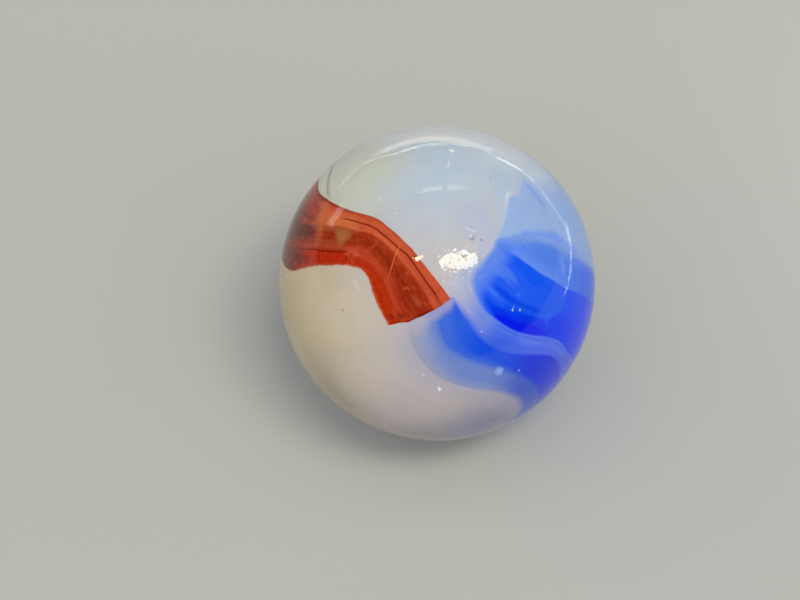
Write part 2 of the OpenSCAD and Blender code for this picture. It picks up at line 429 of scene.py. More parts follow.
above_thread = fade(past_thread_top, -0.10, 0.15)
lavender = kept("lavender", np.max([
    near((21, 18), 1, 5), near((13, 1.5), 1, 7), near((8, 0), 1, 6), near((14, 22), 2, 9),
    near((17.5, 13), 2, 5)], axis=0))
blue = over(milk, MILK_LAVENDER, times(lavender, 0.75))
blue_glow = times(fade(past_thread_top, -1.5, 0.1), kept("blue_glow", near((13.5, 3), 3, 6)))
blue = over(blue, LOBE_GLOW, times(blue_glow, 0.55))
blue = over(blue, HAZE, times(fade(in_haze_by, -0.10, 0.30), above_thread, 0.75))
veil_soft = fade(upper_run, -3.4, -7.0, 0.10, 0.45)
in_veil = fade(calc("DIVIDE", wavering(in_veil_by, 0.2), veil_soft), -0.5, 1.0)
veil_grain = streaks(upper_run, in_veil_by, 0.5, 2.2, 31.0)
veil = washed(VEIL, [
    ("veil_far", VEIL_FAR, 1, (76, 18), 10, 22),
    # A painted reflection of bright sky near the upper right rim.
    ("veil_top_sky_reflection", VEIL_TOP_SKY_REFLECTION, 1, (54, 50), 6, 14)])
veil = graded(veil, veil_grain, [(HAZE, 0.02, 0.30, 0.35), (VEIL_LOW, -0.02, -0.30, 0.35)])
blue = over(blue, veil, times(in_veil, above_thread))
# Another painted reflection of bright sky near the upper rim.
blue = washed(blue, [("rim_sky_reflection", RIM_SKY_REFLECTION, 0.7, (44, 55), 6, 14)])
blue = soft_streaks(blue, "veil_streak", [
    (VEIL_LOW, 0.40, 0.95, [(22, 14, 0.1), (27, 15.4, 0.40), (33, 16.4, 0.70), (40, 16.6, 0.90),
        (47, 15.6, 0.95), (54, 13, 0.80), (62, 10.5, 0.5), (70, 9, 0.1)]),
    (VEIL_LOW, 0.25, 0.45, [(40, 39, 0.1), (42, 36, 0.5), (44, 32.5, 0.6), (46, 28.6, 0.5),
        (48, 25, 0.1)]),
    (VEIL_FAR, 0.12, 0.45, [(27, 22.5, 0.05), (29.4, 27, 0.18), (31, 29.9, 0.22), (34, 31, 0.10)]),
    (HAZE, 0.16, 0.35, [(31, 21, 0.05), (36, 22.6, 0.14), (42, 23.2, 0.16), (46, 23, 0.10),
        (50, 22, 0.02)]),
    (VEIL_RIM, 0.10, 0.75, [(25.6, 22.6, 0.02), (27, 26, 0.10), (28.3, 29.4, 0.20), (29.6, 31.6, 0.30),
        (31.8, 32.4, 0.22), (33.4, 32.2, 0.04)])])

thread_width = times(calc("ADD", past_thread_low, past_thread_top), -1.0)
thread_share = calc("DIVIDE", times(past_thread_top, -1.0), calc("MAXIMUM", thread_width, 0.05))
thread_blend = over(THREAD_PALE, THREAD_BLUE, fade(thread_share, 0.65, 1.10))
thread = graded(THREAD_WHITE, lower_run, [
    (thread_blend, 1.1, 3.0, 1.0), (THREAD_BLUE, 2.8, 4.8, 1.0), (THREAD_RIGHT, 5.4, 7.4, 1.0),
    (THREAD_VIOLET, 8.0, 9.6, 1.0)])
thread_grain = streaks(lower_run, past_thread_low, 0.6, 5.0, 17.0)
thread = graded(thread, thread_grain, [(THREAD_LIGHT, 0.0, 0.35, 0.6)])
thread = soft_streaks(thread, "thread_streak", [
    (THREAD_WHITE, 0.20, 0.6, [(6, -1, 0.1), (8, -4.6, 0.36), (10.2, -8.2, 0.36), (12.2, -11, 0.24),
        (14.4, -13.2, 0.05)]),
    (THREAD_LIGHT, 0.18, 0.8, [(16, -15, 0.05), (20, -17.4, 0.2), (26, -19.2, 0.24), (32, -20.6, 0.30),
        (38, -21.2, 0.40), (44, -21.7, 0.46), (50, -22.9, 0.46), (56, -25, 0.36), (62, -27.8, 0.1)]),
    (THREAD_EDGE, 0.16, 0.75, [(14.4, -9.6, 0.05), (17.4, -12.6, 0.16), (20.6, -14.8, 0.24),
        (25, -17, 0.30), (30, -18.8, 0.26), (36, -20, 0.20), (44, -20.8, 0.18), (52, -22.8, 0.16),
        (60, -26, 0.10)]),
    (THREAD_WHITE, 0.14, 0.30, [(35, -20.6, 0.04), (37.5, -20.9, 0.20), (40, -21.2, 0.20),
        (43, -21.5, 0.04)])])
in_thread = times(fade(past_thread_top, 0.30, 0.20), fade(past_thread_low, 0.30, 0.20),
                  fade(lower_run, 0.7, 2.0))
blue = over(blue, thread, in_thread)


# ---- The blue lobe above the thread -----------------------------------------------------
# Streaks of deep and lighter blue fan out from its rounded left end and run together again
# towards the right. Mid blue lies over them, and the whole lobe fades into the veil.
DEEP_TOP = [
    (12, 21), (16, 17), (20, 14.4), (22.5, 13), (25, 11.1), (28, 9.2), (30, 7.9), (33, 6), (36, 4.2),
    (39, 2.7), (42, 1.5), (46, 0), (50, -1.8), (54, -2.6), (60, -3.8), (65, -4.6), (70, -5.8), (85, -9),
    (100, -15), (118, -25.5), (132, -35), (138, -38.5), (146, -44)]
DEEP_LEFT = [(29, 16), (25, 11), (21.4, 6.6), (18, 3.2), (15.4, 0.6), (14, -1.6), (13, -4), (13, -9)]
MID_TOP = [
    (10, 15), (15, 14), (18, 13.6), (20.3, 14.2), (22.5, 15.4), (25, 16), (30, 16.2), (36, 15.6),
    (42, 14.8), (48, 13.4), (55, 11), (60, 9), (65, 7.4), (72, 6), (85, 2), (100, -4), (118, -15),
    (132, -27), (138, -33), (146, -42)]
FOLD = [
    (52, 6), (51.2, 0), (50.6, -4), (49, -8.6), (46, -10.4), (43.6, -12.6), (42.6, -15), (44.4, -16.6),
    (42, -19), (40, -23)]
RIM_PALE = paint(136, 156, 216)
MID_PALE = paint(118, 151, 226)
MID_BLUE = paint(80, 126, 232)
MID_RIGHT = paint(28, 92, 236)
MID_LIGHT = paint(100, 140, 242)
TONGUE_BLUE = paint(58, 108, 236)
LEFT_LIGHT = paint(92, 130, 231)
FIELD_BLUE = paint(30, 88, 240)
STREAK_BLUE = paint(6, 82, 240)
DARK_STREAK = paint(0, 66, 231)
LIGHT_STREAK = paint(70, 115, 243)
DEEP_BLUE = paint(0, 50, 236)
DEEPEST = paint(0, 22, 236)
RIGHT_BLUE = paint(0, 74, 246)
RIGHT_DEEP = paint(0, 54, 244)

past_deep_top, past_mid_top = measured_from(DEEP_TOP)[0], measured_from(MID_TOP)[0]
under_deep_top = kept("under_deep_top", -past_deep_top)
under_mid_top = kept("under_mid_top", -past_mid_top)
past_deep_left = kept("past_deep_left", measured_from(DEEP_LEFT)[0])
past_fold = kept("past_fold", measured_from(FOLD)[0])

flow_up = calc("ADD", under_deep_top, times(past_thread_top, -0.5))
fine_blue = streaks(upper_run, flow_up, 0.5, 4.5, 7.0, 4.0)
into_mid = calc("ADD", under_mid_top, times(fine_blue, 1.2))
mid = graded(MID_PALE, into_mid, [(MID_BLUE, 0.0, 0.8, 1.0)])
mid = over(mid, MID_LIGHT, times(fade(under_deep_top, -0.75, -0.1), fade(upper_run, 8.0, 4.0), 0.8))
mid = washed(mid, [
    ("mid_right", MID_RIGHT, 1, (84, -4), 14, 26),
    ("left_light", LEFT_LIGHT, 1, (16, 5), 6, 9)])
mid = graded(mid, fine_blue, [(MID_LIGHT, 0.04, 0.30, 0.35), (MID_BLUE, -0.04, -0.30, 0.5)])
mid = soft_streaks(mid, "mid_streak", [
    (TONGUE_BLUE, 0.22, 0.75, [(21.6, 12.8, 0.05), (23.2, 11, 0.36), (25, 9.2, 0.44),
        (27.1, 7.5, 0.30)]),
    (MID_BLUE, 0.20, 0.8, [(20.5, 13.2, 0.05), (22.5, 12.1, 0.5), (25, 11.5, 0.55), (28, 11, 0.2)]),
    (MID_BLUE, 0.25, 0.8, [(32, 13.4, 0.1), (37, 12.4, 0.6), (43, 11.4, 0.8), (47, 10.4, 0.4),
        (50, 10, 0.05)]),
    (MID_LIGHT, 0.16, 0.8, [(47.6, 9.5, 0.05), (49.2, 7.5, 0.5), (49.4, 4.5, 0.5), (49, 1.5, 0.1)]),
    (MID_PALE, 0.25, 0.7, [(20.5, 14.6, 0.1), (23.5, 14.8, 0.4), (27, 14.8, 0.35), (31, 14.6, 0.05)])])
in_upper = fade(wavering(past_thread_top, 0.10), -0.10, 0.14)
rim_fade = fade(upper_run, 0.8, 2.6, 0.30, 0.20)
in_rim = calc("SUBTRACT", 1.0, fade(calc("DIVIDE", past_thread_top, rim_fade), 0.0, 1.0))
mid = over(mid, RIM_PALE, times(in_rim, fade(upper_run, 1.6, -0.4, 0.2, 0.8)))
mid_soft = fade(upper_run, -3.0, 4.0, 0.30, 0.60)
in_mid = fade(calc("DIVIDE", wavering(under_mid_top, 0.3), mid_soft), -0.5, 0.6)
blue = over(blue, mid, times(in_mid, in_upper))

deep = graded(FIELD_BLUE, fine_blue, [
    (LIGHT_STREAK, 0.04, 0.34, 0.30), (STREAK_BLUE, -0.02, -0.30, 0.6)])
deep = soft_streaks(deep, "upper_streak", [
    (LEFT_LIGHT, 0.20, 0.3, [(20.6, 12, 0.1), (22, 12.4, 0.4), (24, 11.8, 0.3), (26, 10.6, 0.05)]),
    (STREAK_BLUE, 0.24, 0.75, [(24.5, 11, 0.1), (26, 8.9, 0.36), (28, 7, 0.60), (30.5, 5, 0.76),
        (33.5, 2.8, 0.80), (37, 0.7, 0.70), (41, -1.4, 0.40), (45, -3.2, 0.15)]),
    (FIELD_BLUE, 0.22, 0.6, [(14.2, -0.6, 0.05), (14.3, -2.6, 0.30), (15.2, -5, 0.34),
        (16.8, -7.4, 0.24), (19, -9.4, 0.05)]),
    (STREAK_BLUE, 0.24, 0.7, [(27, -1.6, 0.05), (30, -3.2, 0.34), (34, -4.6, 0.28), (40, -6.4, 0.1)]),
    (LEFT_LIGHT, 0.26, 0.55, [(17, 6, 0.4), (20, 4.2, 0.6), (22.6, 4, 0.8), (25.4, 2.4, 0.6),
        (28, 0, 0.4), (31, -2, 0.1)]),
    (LIGHT_STREAK, 0.16, 0.4, [(23, 5.4, 0.05), (24.6, 4.2, 0.34), (26, 2.6, 0.18), (28, 0.4, 0.02)]),
    (DARK_STREAK, 0.17, 0.95, [(18.6, 0.4, 0.06), (20.4, -1.6, 0.28), (22.2, -2.9, 0.44),
        (25, -4.9, 0.46), (28, -6.6, 0.46), (32, -8.2, 0.46), (36, -9.3, 0.40), (40, -10.3, 0.2),
        (44, -11.4, 0.05)]),
    (DARK_STREAK, 0.30, 1.0, [(21.6, -6.4, 0.05), (24, -8, 0.40), (27, -9.4, 0.60), (31, -10.8, 0.70),
        (35, -12, 0.60), (39, -13, 0.3)]),
    (DARK_STREAK, 0.24, 1.0, [(13.8, -1.4, 0.05), (15.4, -4.2, 0.42), (17.6, -6.6, 0.60),
        (20.4, -8.8, 0.60), (24, -10.6, 0.4), (28, -12, 0.1)]),
    (DEEP_BLUE, 0.24, 1.0, [(16.6, -6.8, 0.05), (18.4, -8.4, 0.34), (20.6, -9.8, 0.66),
        (24, -11.6, 0.92), (28, -13, 1.05), (33, -14.4, 1.15), (38, -15.2, 1.15), (43, -15.8, 1.1),
        (50, -16.4, 1.4), (60, -18, 1.6), (72, -22, 1.9), (90, -30, 2.0), (110, -38, 1.2),
        (126, -42, 0.3)]),
    (DEEPEST, 0.24, 1.0, [(18.5, -9.2, 0.05), (20.6, -11, 0.34), (23.5, -12.6, 0.60), (28, -14.6, 0.78),
        (33, -16, 0.80), (38, -16.9, 0.70), (43, -17.6, 0.5), (50, -18, 0.8), (60, -20.5, 1.2),
        (72, -25, 1.3), (90, -33, 1.2), (108, -40, 0.3)]),
    (LIGHT_STREAK, 0.12, 0.8, [(22.4, 2.2, 0.03), (24.6, 0.2, 0.18), (27.4, -1.8, 0.16), (31, -4, 0.08),
        (35, -6, 0.02)]),
    (DARK_STREAK, 0.12, 0.6, [(28.6, 4.6, 0.03), (31, 2.2, 0.20), (34, 0, 0.22), (38, -2.2, 0.12),
        (41, -3.6, 0.02)]),
    (LIGHT_STREAK, 0.15, 1.0, [(14.6, 2, 0.03), (16.2, -0.2, 0.28), (18, -2.3, 0.34),
        (19.8, -3.9, 0.26), (21.6, -5.2, 0.14), (23.4, -6.4, 0.03)])])
over_thread = calc("ADD", past_thread_top, times(fine_blue, 0.6))
right_deep = graded(RIGHT_BLUE, over_thread, [(RIGHT_DEEP, 1.7, 0.9, 1.0)])
right_deep = washed(right_deep, [("deep_far", RIGHT_DEEP, 0.7, (86, -16), 16, 22)])
right_deep = graded(right_deep, fine_blue, [(STREAK_BLUE, 0.02, 0.30, 0.35)])
deep = over(deep, right_deep, fade(wavering(past_fold, 0.10), -0.10, 0.25))
deep = soft_streaks(deep, "fold_streak", [
    (FIELD_BLUE, 0.24, 0.85, [(40, -8, 0.2), (41.4, -10.8, 0.50), (42, -13.2, 0.44), (43, -15.2, 0.22),
        (42.4, -17.6, 0.30)]),
    (FIELD_BLUE, 0.14, 0.8, [(50.4, -3, 0.1), (50, -6, 0.28), (48.6, -9, 0.28), (46, -10.8, 0.12)])])
deep = crisp_streaks(deep, "fold_nick", [
    (DEEPEST, 0.05, 0.9, [(48.9, -1.6, 0.03), (49.1, -2.6, 0.13), (49.2, -3.6, 0.03)])])
deep_soft = fade(upper_run, 0.8, 3.4, 0.22, 0.12)
deep_rim = fade(calc("DIVIDE", past_thread_top, deep_soft), -0.3, 1.0)
in_deep = times(fade(wavering(under_deep_top, 0.10), -0.05, 0.05),
                fade(wavering(past_deep_left, 0.3), -0.25, 0.65))
blue = over(blue, deep, times(in_deep, deep_rim, in_upper))


# ---- The blue lobe below the thread -----------------------------------------------------
# It is deepest against the thread and pales outwards into a veil with a clear outer edge.
# The red ribbon's cut end lies over its beginning.
RED_CUT = [
    (-26, -16.5), (-20, -14.9), (-17.6, -14.3), (-15, -13.9), (-13, -13.3), (-10.2, -13.2), (-9, -12.8),
    (-7.5, -12), (-5, -11), (-3, -9.9), (-1, -9), (0, -8.2), (1, -7.7), (2.2, -6.9), (2.8, -6.3),
    (3.6, -6), (4.3, -5.3), (6, -4.9), (9, -4.6), (13, -4)]
LOWER_DEEP = [
    (5, 0), (5.2, -5), (5.2, -8), (4.8, -12), (5.4, -16), (8, -20), (12, -23.2), (16, -25.2),
    (20, -26.6), (26, -28.6), (32, -30.8), (38, -32.4), (45, -35), (52, -38.4), (60, -42.2),
    (70, -46.5), (84, -51.5), (98, -54.5), (114, -55.5), (128, -54.5), (138, -52), (146, -48)]
LOWER_MID = [
    (0, 2), (0.4, -4), (0.4, -9), (0, -12.5), (1.2, -17.4), (4, -22.2), (8, -24.9), (12, -26.6),
    (16, -28.3), (20, -29.4), (24, -30.2), (28, -31.4), (33, -33), (40, -35.6), (46, -38.2),
    (53, -41.6), (61, -46), (72, -51), (86, -55.5), (100, -58), (116, -58), (130, -55.6), (140, -52.4),
    (147, -48)]
LOWER_VEIL = [
    (-10, -6), (-10.2, -11), (-10.1, -15.5), (-9.7, -18.4), (-9, -21.2), (-7.8, -24.2), (-6.2, -27),
    (-4.2, -29.6), (-1.8, -32), (1, -34.1), (4.4, -35.8), (8, -37.3), (12, -38.4), (17, -39.5),
    (22, -40.2), (28, -41.1), (34, -42.3), (40, -44), (45, -46.2), (50, -49), (55, -52.5), (62, -57),
    (74, -62), (92, -65), (112, -63), (128, -58.5), (140, -53), (148, -46)]

LOWER_DARK = paint(18, 76, 227)
LOWER_BLUE = paint(42, 92, 222)
LOWER_LIGHT = paint(64, 104, 217)
LOWER_PALE = paint(106, 130, 204)
LOWER_VEIL_BLUE = paint(138, 151, 195)
LOWER_VEIL_GREY = paint(156, 158, 186)
LOWER_LINE = paint(148, 152, 184)
LOWER_RIGHT_MID = paint(6, 56, 218)
LOWER_RIGHT_PALE = paint(58, 88, 202)
LOWER_RIGHT_VEIL = paint(76, 100, 200)
DEEP_LOW = paint(0, 44, 222)
UNDER_CUT = paint(152, 154, 197)
LOW_LAVENDER = paint(160, 158, 188)


def laid_between(distances):
    """Where each point lies across glass that flows between lines: 0 before the first line, 1
    on the second and so on. It is the sum over neighbouring lines of the share of the way
    from one to the next, which is 1 past the second of them and 0 before the first."""
    place = np.zeros(len(skin))
    for passed, ahead in zip(distances[:-1], distances[1:]):
        share = passed / np.maximum(passed - ahead, 1e-9)
        place += np.where(ahead >= 0, 1, np.where(passed <= 0, 0, share))
    return place


def ramp(value, span, stops):
    """A colour for each value from 0 to span: stops are (place, colour)."""
    made = tree.nodes.new("ShaderNodeValToRGB")
    tree.links.new(calc("DIVIDE", value, span), made.inputs[0])
    elements = made.color_ramp.elements
    elements.remove(elements[-1])
    elements[0].position, elements[0].color = stops[0][0] / span, (*stops[0][1], 1)
    for place, colour in stops[1:]:
        elements.new(place / span).color = (*colour, 1)
    return made.outputs[0]


lower_past = [-thread_low] + [-measured_from(line)[0] for line in (LOWER_DEEP, LOWER_MID, LOWER_VEIL)]
lower = kept("lower", laid_between(lower_past))
in_lower_veil_by = kept("in_lower_veil_by", -lower_past[3])
past_red_cut = kept("past_red_cut", measured_from(RED_CUT)[0])

fine_lower = streaks(lower_run, lower, 0.45, 4.0, 11.0, 4.0)
lower_place = calc("ADD", lower, times(fine_lower, 0.35))
lower_left = ramp(lower_place, 3, [
    (0.00, LOWER_BLUE), (0.60, LOWER_BLUE), (1.25, LOWER_LIGHT), (1.90, LOWER_LIGHT),
    (2.12, LOWER_PALE), (2.50, LOWER_VEIL_BLUE), (2.85, LOWER_VEIL_GREY), (3.00, LOWER_VEIL_GREY)])
lower_middle = ramp(lower_place, 3, [
    (0.00, LOWER_DARK), (0.90, LOWER_DARK), (1.40, LOWER_BLUE), (1.90, LOWER_LIGHT), (2.15, LOWER_PALE),
    (2.60, LOWER_PALE), (2.90, LOWER_VEIL_BLUE), (3.00, LOWER_VEIL_BLUE)])
lower_right = ramp(lower_place, 3, [
    (0.00, DEEP_LOW), (0.90, DEEP_LOW), (1.30, LOWER_RIGHT_MID), (2.00, LOWER_RIGHT_PALE),
    (2.50, LOWER_RIGHT_PALE), (3.00, LOWER_RIGHT_VEIL)])
lower_blue = graded(lower_left, lower_run, [
    (lower_middle, 2.6, 4.4, 1.0), (lower_right, 5.0, 7.4, 1.0)])
lower_blue = soft_streaks(lower_blue, "lower_streak", [
    (LOWER_DARK, 0.24, 0.9, [(11, -15.6, 0.05), (13, -18.2, 0.30), (16, -20.6, 0.40), (20, -22.8, 0.46),
        (25, -24.6, 0.40), (30, -26, 0.20), (34, -27, 0.05)]),
    (LOWER_PALE, 0.24, 0.5, [(2, -22, 0.05), (5, -25.4, 0.3), (10, -28.6, 0.4), (16, -31, 0.3),
        (22, -32.6, 0.1)]),
    (LOWER_VEIL_BLUE, 0.24, 0.5, [(-6, -19, 0.3), (-4.4, -23.4, 0.4), (-1.4, -27.6, 0.4), (3, -31, 0.3),
        (8, -33.6, 0.1)]),
    (LOWER_LINE, 0.14, 0.8, [(-9, -18, 0.05), (-8.2, -21.2, 0.24), (-6.9, -24.4, 0.28),
        (-5, -27.4, 0.28), (-2.8, -30, 0.28), (0.4, -32.6, 0.28), (4, -34.8, 0.24), (8.4, -36.3, 0.18),
        (13, -37.4, 0.05)]),
    (UNDER_CUT, 0.34, 0.9, [(-12, -14.4, 0.6), (-8, -13.8, 0.8), (-4, -11.9, 0.95), (0, -9.9, 0.95),
        (3.2, -7.6, 0.85), (5.4, -5.2, 0.6)])])
lower_soft = fade(lower_run, 4.0, 8.0, 0.09, 0.40)
in_lower = times(fade(calc("DIVIDE", wavering(in_lower_veil_by, 0.05), lower_soft), -0.5, 1.0),
                 fade(past_thread_low, -0.08, 0.14), fade(past_red_cut, 0.06, 0.0))
under_cut = kept("under_cut", near((-9, -13), 2, 6))
low_glow = times(fade(in_lower_veil_by, -1.5, 0.1), fade(past_thread_low, 0.1, 0.3),
                 kept("low_glow", near((12, -38), 24, 14)))
blue = over(blue, LOW_LAVENDER, times(low_glow, 0.6))
blue = over(blue, lower_blue, times(in_lower, calc("SUBTRACT", 1.0, times(under_cut, 0.75))))


# ---- The red ribbon ---------------------------------------------------------------------
# A ribbon of red glass laid on the gob and sheared off square. It was folded from several
# gathers, so dark and orange streaks run along it, side by side, right up to the cut.
RED_TOP = [
    (10, -14), (7, -9.5), (3.9, -4.8), (2, -2.2), (0, 0.3), (-2, 2.8), (-4, 5.3), (-5.6, 7.2),
    (-6.7, 8.8), (-7.6, 9.9), (-9, 11.5), (-10.6, 12.9), (-12.5, 14.7), (-15, 16.9), (-18, 19.1),
    (-20, 20.6), (-22, 21.8), (-25, 22.9), (-30, 24.1), (-35, 25.3), (-40, 26.9), (-45, 28.3),
    (-50, 30.1), (-55, 31.7), (-60, 33.5), (-65, 35.9), (-68, 37.6), (-72, 39.2), (-78, 41),
    (-86, 42.5), (-100, 44), (-118, 42), (-134, 34), (-146, 23), (-152, 15)]
RED_LINE = [
    (5, -13), (2, -8.5), (-1, -3.2), (-2.5, -1.2), (-4, 0.9), (-5.5, 3.1), (-7, 5.3), (-8.5, 7.4),
    (-10, 9.2), (-11.5, 10.5), (-13.2, 11.7), (-15, 13.2), (-17.5, 15.2), (-20, 16.9), (-22.5, 18.6),
    (-25, 19.7), (-30, 21), (-35, 22.1), (-40, 22.9), (-46, 23.4), (-52, 22.8), (-58, 23.2),
    (-65, 25.5), (-72, 28.5), (-80, 31), (-100, 33), (-118, 32), (-134, 27), (-146, 20), (-153, 15.5)]
CORE_TOP = [
    (1, -12.5), (-2.6, -8.6), (-4, -5.5), (-5.5, -2.5), (-7.5, 0.8), (-9.5, 3.6), (-12, 7),
    (-14.5, 9.9), (-17, 12.3), (-20, 14.5), (-23, 16), (-26, 17), (-30, 17.7), (-35, 19), (-40, 19.8),
    (-46, 20.2), (-52, 20.3), (-58, 20.4), (-65, 21.5), (-72, 24), (-80, 26), (-100, 28.5),
    (-118, 28.5), (-134, 25), (-146, 19.3), (-153, 16)]
CORE_LOW = [
    (-6.5, -16), (-8.5, -12.7), (-10.5, -9.5), (-12.5, -5.5), (-14.3, -1.5), (-15.7, 2), (-17.8, 5.7),
    (-20.5, 8.9), (-23.5, 11), (-26.5, 12.3), (-30, 13), (-35, 13.3), (-40, 13.4), (-50, 14.2),
    (-60, 14.6), (-70, 16), (-80, 18.5), (-100, 22), (-118, 24), (-134, 22.5), (-146, 18.5),
    (-153, 16.5)]
PINK_LINE = [
    (-10, -15), (-11.7, -11.6), (-13.3, -8), (-15, -4), (-16.4, -0.4), (-18.6, 2.7), (-20.7, 5.2),
    (-23.2, 7.6), (-26, 9.1), (-29, 9.9), (-32, 10.9), (-36, 11.8), (-42, 12.4), (-50, 12.8),
    (-60, 12.7), (-70, 14), (-80, 16.5), (-100, 20), (-118, 22.5), (-134, 21.5), (-146, 18), (-153, 17)]
PURE_TOP = [
    (-13.5, -17), (-15, -13.3), (-16.6, -8), (-18.2, -3), (-19.8, 0.6), (-22.2, 4), (-25.2, 6.3),
    (-28.2, 7.9), (-30.3, 9.5), (-32.3, 10.3), (-36, 10.6), (-40, 10.7), (-45, 11), (-50, 11.6),
    (-57, 11.5), (-65, 12.2), (-75, 14), (-86, 16), (-100, 18.5), (-118, 21), (-134, 20.5),
    (-146, 17.5), (-153, 17.5)]
RED_LOW = [
    (-14, -22), (-15.5, -18), (-17.1, -13.9), (-18.8, -10.6), (-20.5, -6.8), (-22.2, -2.6),
    (-23.1, 0.6), (-24.3, 2.7), (-26.5, 4.7), (-30, 5.6), (-34, 6.1), (-40, 6.1), (-47, 5.9), (-55, 5),
    (-60, 4.3), (-65, 4.7), (-71, 6.2), (-78, 8.6), (-85, 9.5), (-100, 11), (-120, 14.5), (-136, 17),
    (-146, 16.5), (-153, 18)]
RED_TIP = (3.9, -4.8)  # the corner of the ribbon's cut end, where its upper edge stops

ORANGE = paint(192, 80, 50)
ORANGE_DEEP = paint(172, 66, 40)
ORANGE_LIGHT = paint(206, 94, 58)
TAN = paint(208, 108, 64)
RED_THIN = paint(112, 22, 8)
RED = paint(164, 46, 20)
RED_PINKISH = paint(178, 66, 40)
CORE = paint(143, 37, 9)
CORE_DARK = paint(104, 12, 0)
CORE_BROWN = paint(150, 45, 14)
OLIVE_REFLECTION = paint(160, 106, 58)
OLIVE_BROWN = paint(166, 76, 44)
PINK = paint(184, 60, 30)
PINK_LIGHT = paint(204, 90, 60)
PURE_RED = paint(175, 41, 4)
PURE_STRIP = paint(178, 34, 0)
PURE_DARK = paint(104, 2, 0)
PURE_EDGE = paint(192, 70, 36)
BROWN = paint(92, 4, 0)
FAR_RED = paint(158, 30, 4)
SCRATCHED = paint(226, 120, 78)

red_lines = [RED_TOP, RED_LINE, CORE_TOP, CORE_LOW, PINK_LINE, PURE_TOP, RED_LOW]
red_past = [measured_from(line) for line in red_lines]
tip_run = measured_from(RED_TOP, face_direction([RED_TIP]))[1][0]
red_across = kept("red_across", laid_between([past for past, _ in red_past]))
red_run = kept("red_run", red_past[0][1] - tip_run)
past_red_top = kept("past_red_top", red_past[0][0])
past_red_line = kept("past_red_line", red_past[1][0])
past_pure_top = kept("past_pure_top", red_past[5][0])
past_red_low = kept("past_red_low", red_past[6][0])

red_wide = streaks(red_run, red_across, 0.35, 1.7, 2.0)
red_fine = streaks(red_run, red_across, 0.55, 8.0, 9.0, 4.0)
red_place = calc("ADD", red_across, times(red_wide, 0.45))
cut_streaks = ramp(red_place, 6, [
    (0.00, ORANGE_DEEP), (0.15, ORANGE), (0.80, ORANGE), (0.97, RED), (1.08, ORANGE_DEEP),
    (1.50, ORANGE), (1.82, RED), (2.05, CORE_BROWN), (2.25, CORE), (2.80, CORE), (3.00, RED),
    (3.60, RED), (3.90, PINK), (4.15, PINK), (4.45, RED), (4.80, PURE_RED), (5.80, PURE_RED),
    (6.00, PURE_EDGE)])
bend_streaks = ramp(red_place, 6, [
    (0.00, ORANGE_DEEP), (0.15, ORANGE), (1.30, ORANGE), (1.80, ORANGE_LIGHT), (2.02, RED),
    (2.30, CORE_BROWN), (2.70, CORE), (2.95, CORE_BROWN), (3.20, RED), (3.55, RED_PINKISH),
    (3.90, PINK), (4.20, PINK), (4.60, RED), (5.00, PURE_RED), (5.80, PURE_RED), (6.00, PURE_EDGE)])
strip_streaks = ramp(red_place, 6, [
    (0.00, ORANGE_DEEP), (0.20, ORANGE), (0.90, TAN), (1.30, TAN), (1.80, TAN), (2.05, OLIVE_BROWN),
    (2.40, CORE_BROWN), (2.80, CORE_BROWN), (3.10, RED), (3.80, ORANGE_DEEP), (4.60, RED), (4.96, CORE),
    (5.06, PURE_STRIP), (5.80, PURE_STRIP), (6.00, ORANGE_DEEP)])
far_streaks = ramp(red_place, 6, [
    (0.00, FAR_RED), (0.85, FAR_RED), (1.00, CORE_DARK), (1.20, FAR_RED), (1.80, CORE), (2.05, BROWN),
    (2.80, BROWN), (3.10, CORE), (4.30, CORE), (4.70, CORE_DARK), (5.00, PURE_DARK), (5.80, PURE_DARK),
    (6.00, CORE)])
red = graded(cut_streaks, red_run, [
    (bend_streaks, 2.0, 3.6, 1.0), (strip_streaks, 5.6, 6.6, 1.0), (far_streaks, 7.9, 9.4, 1.0)])
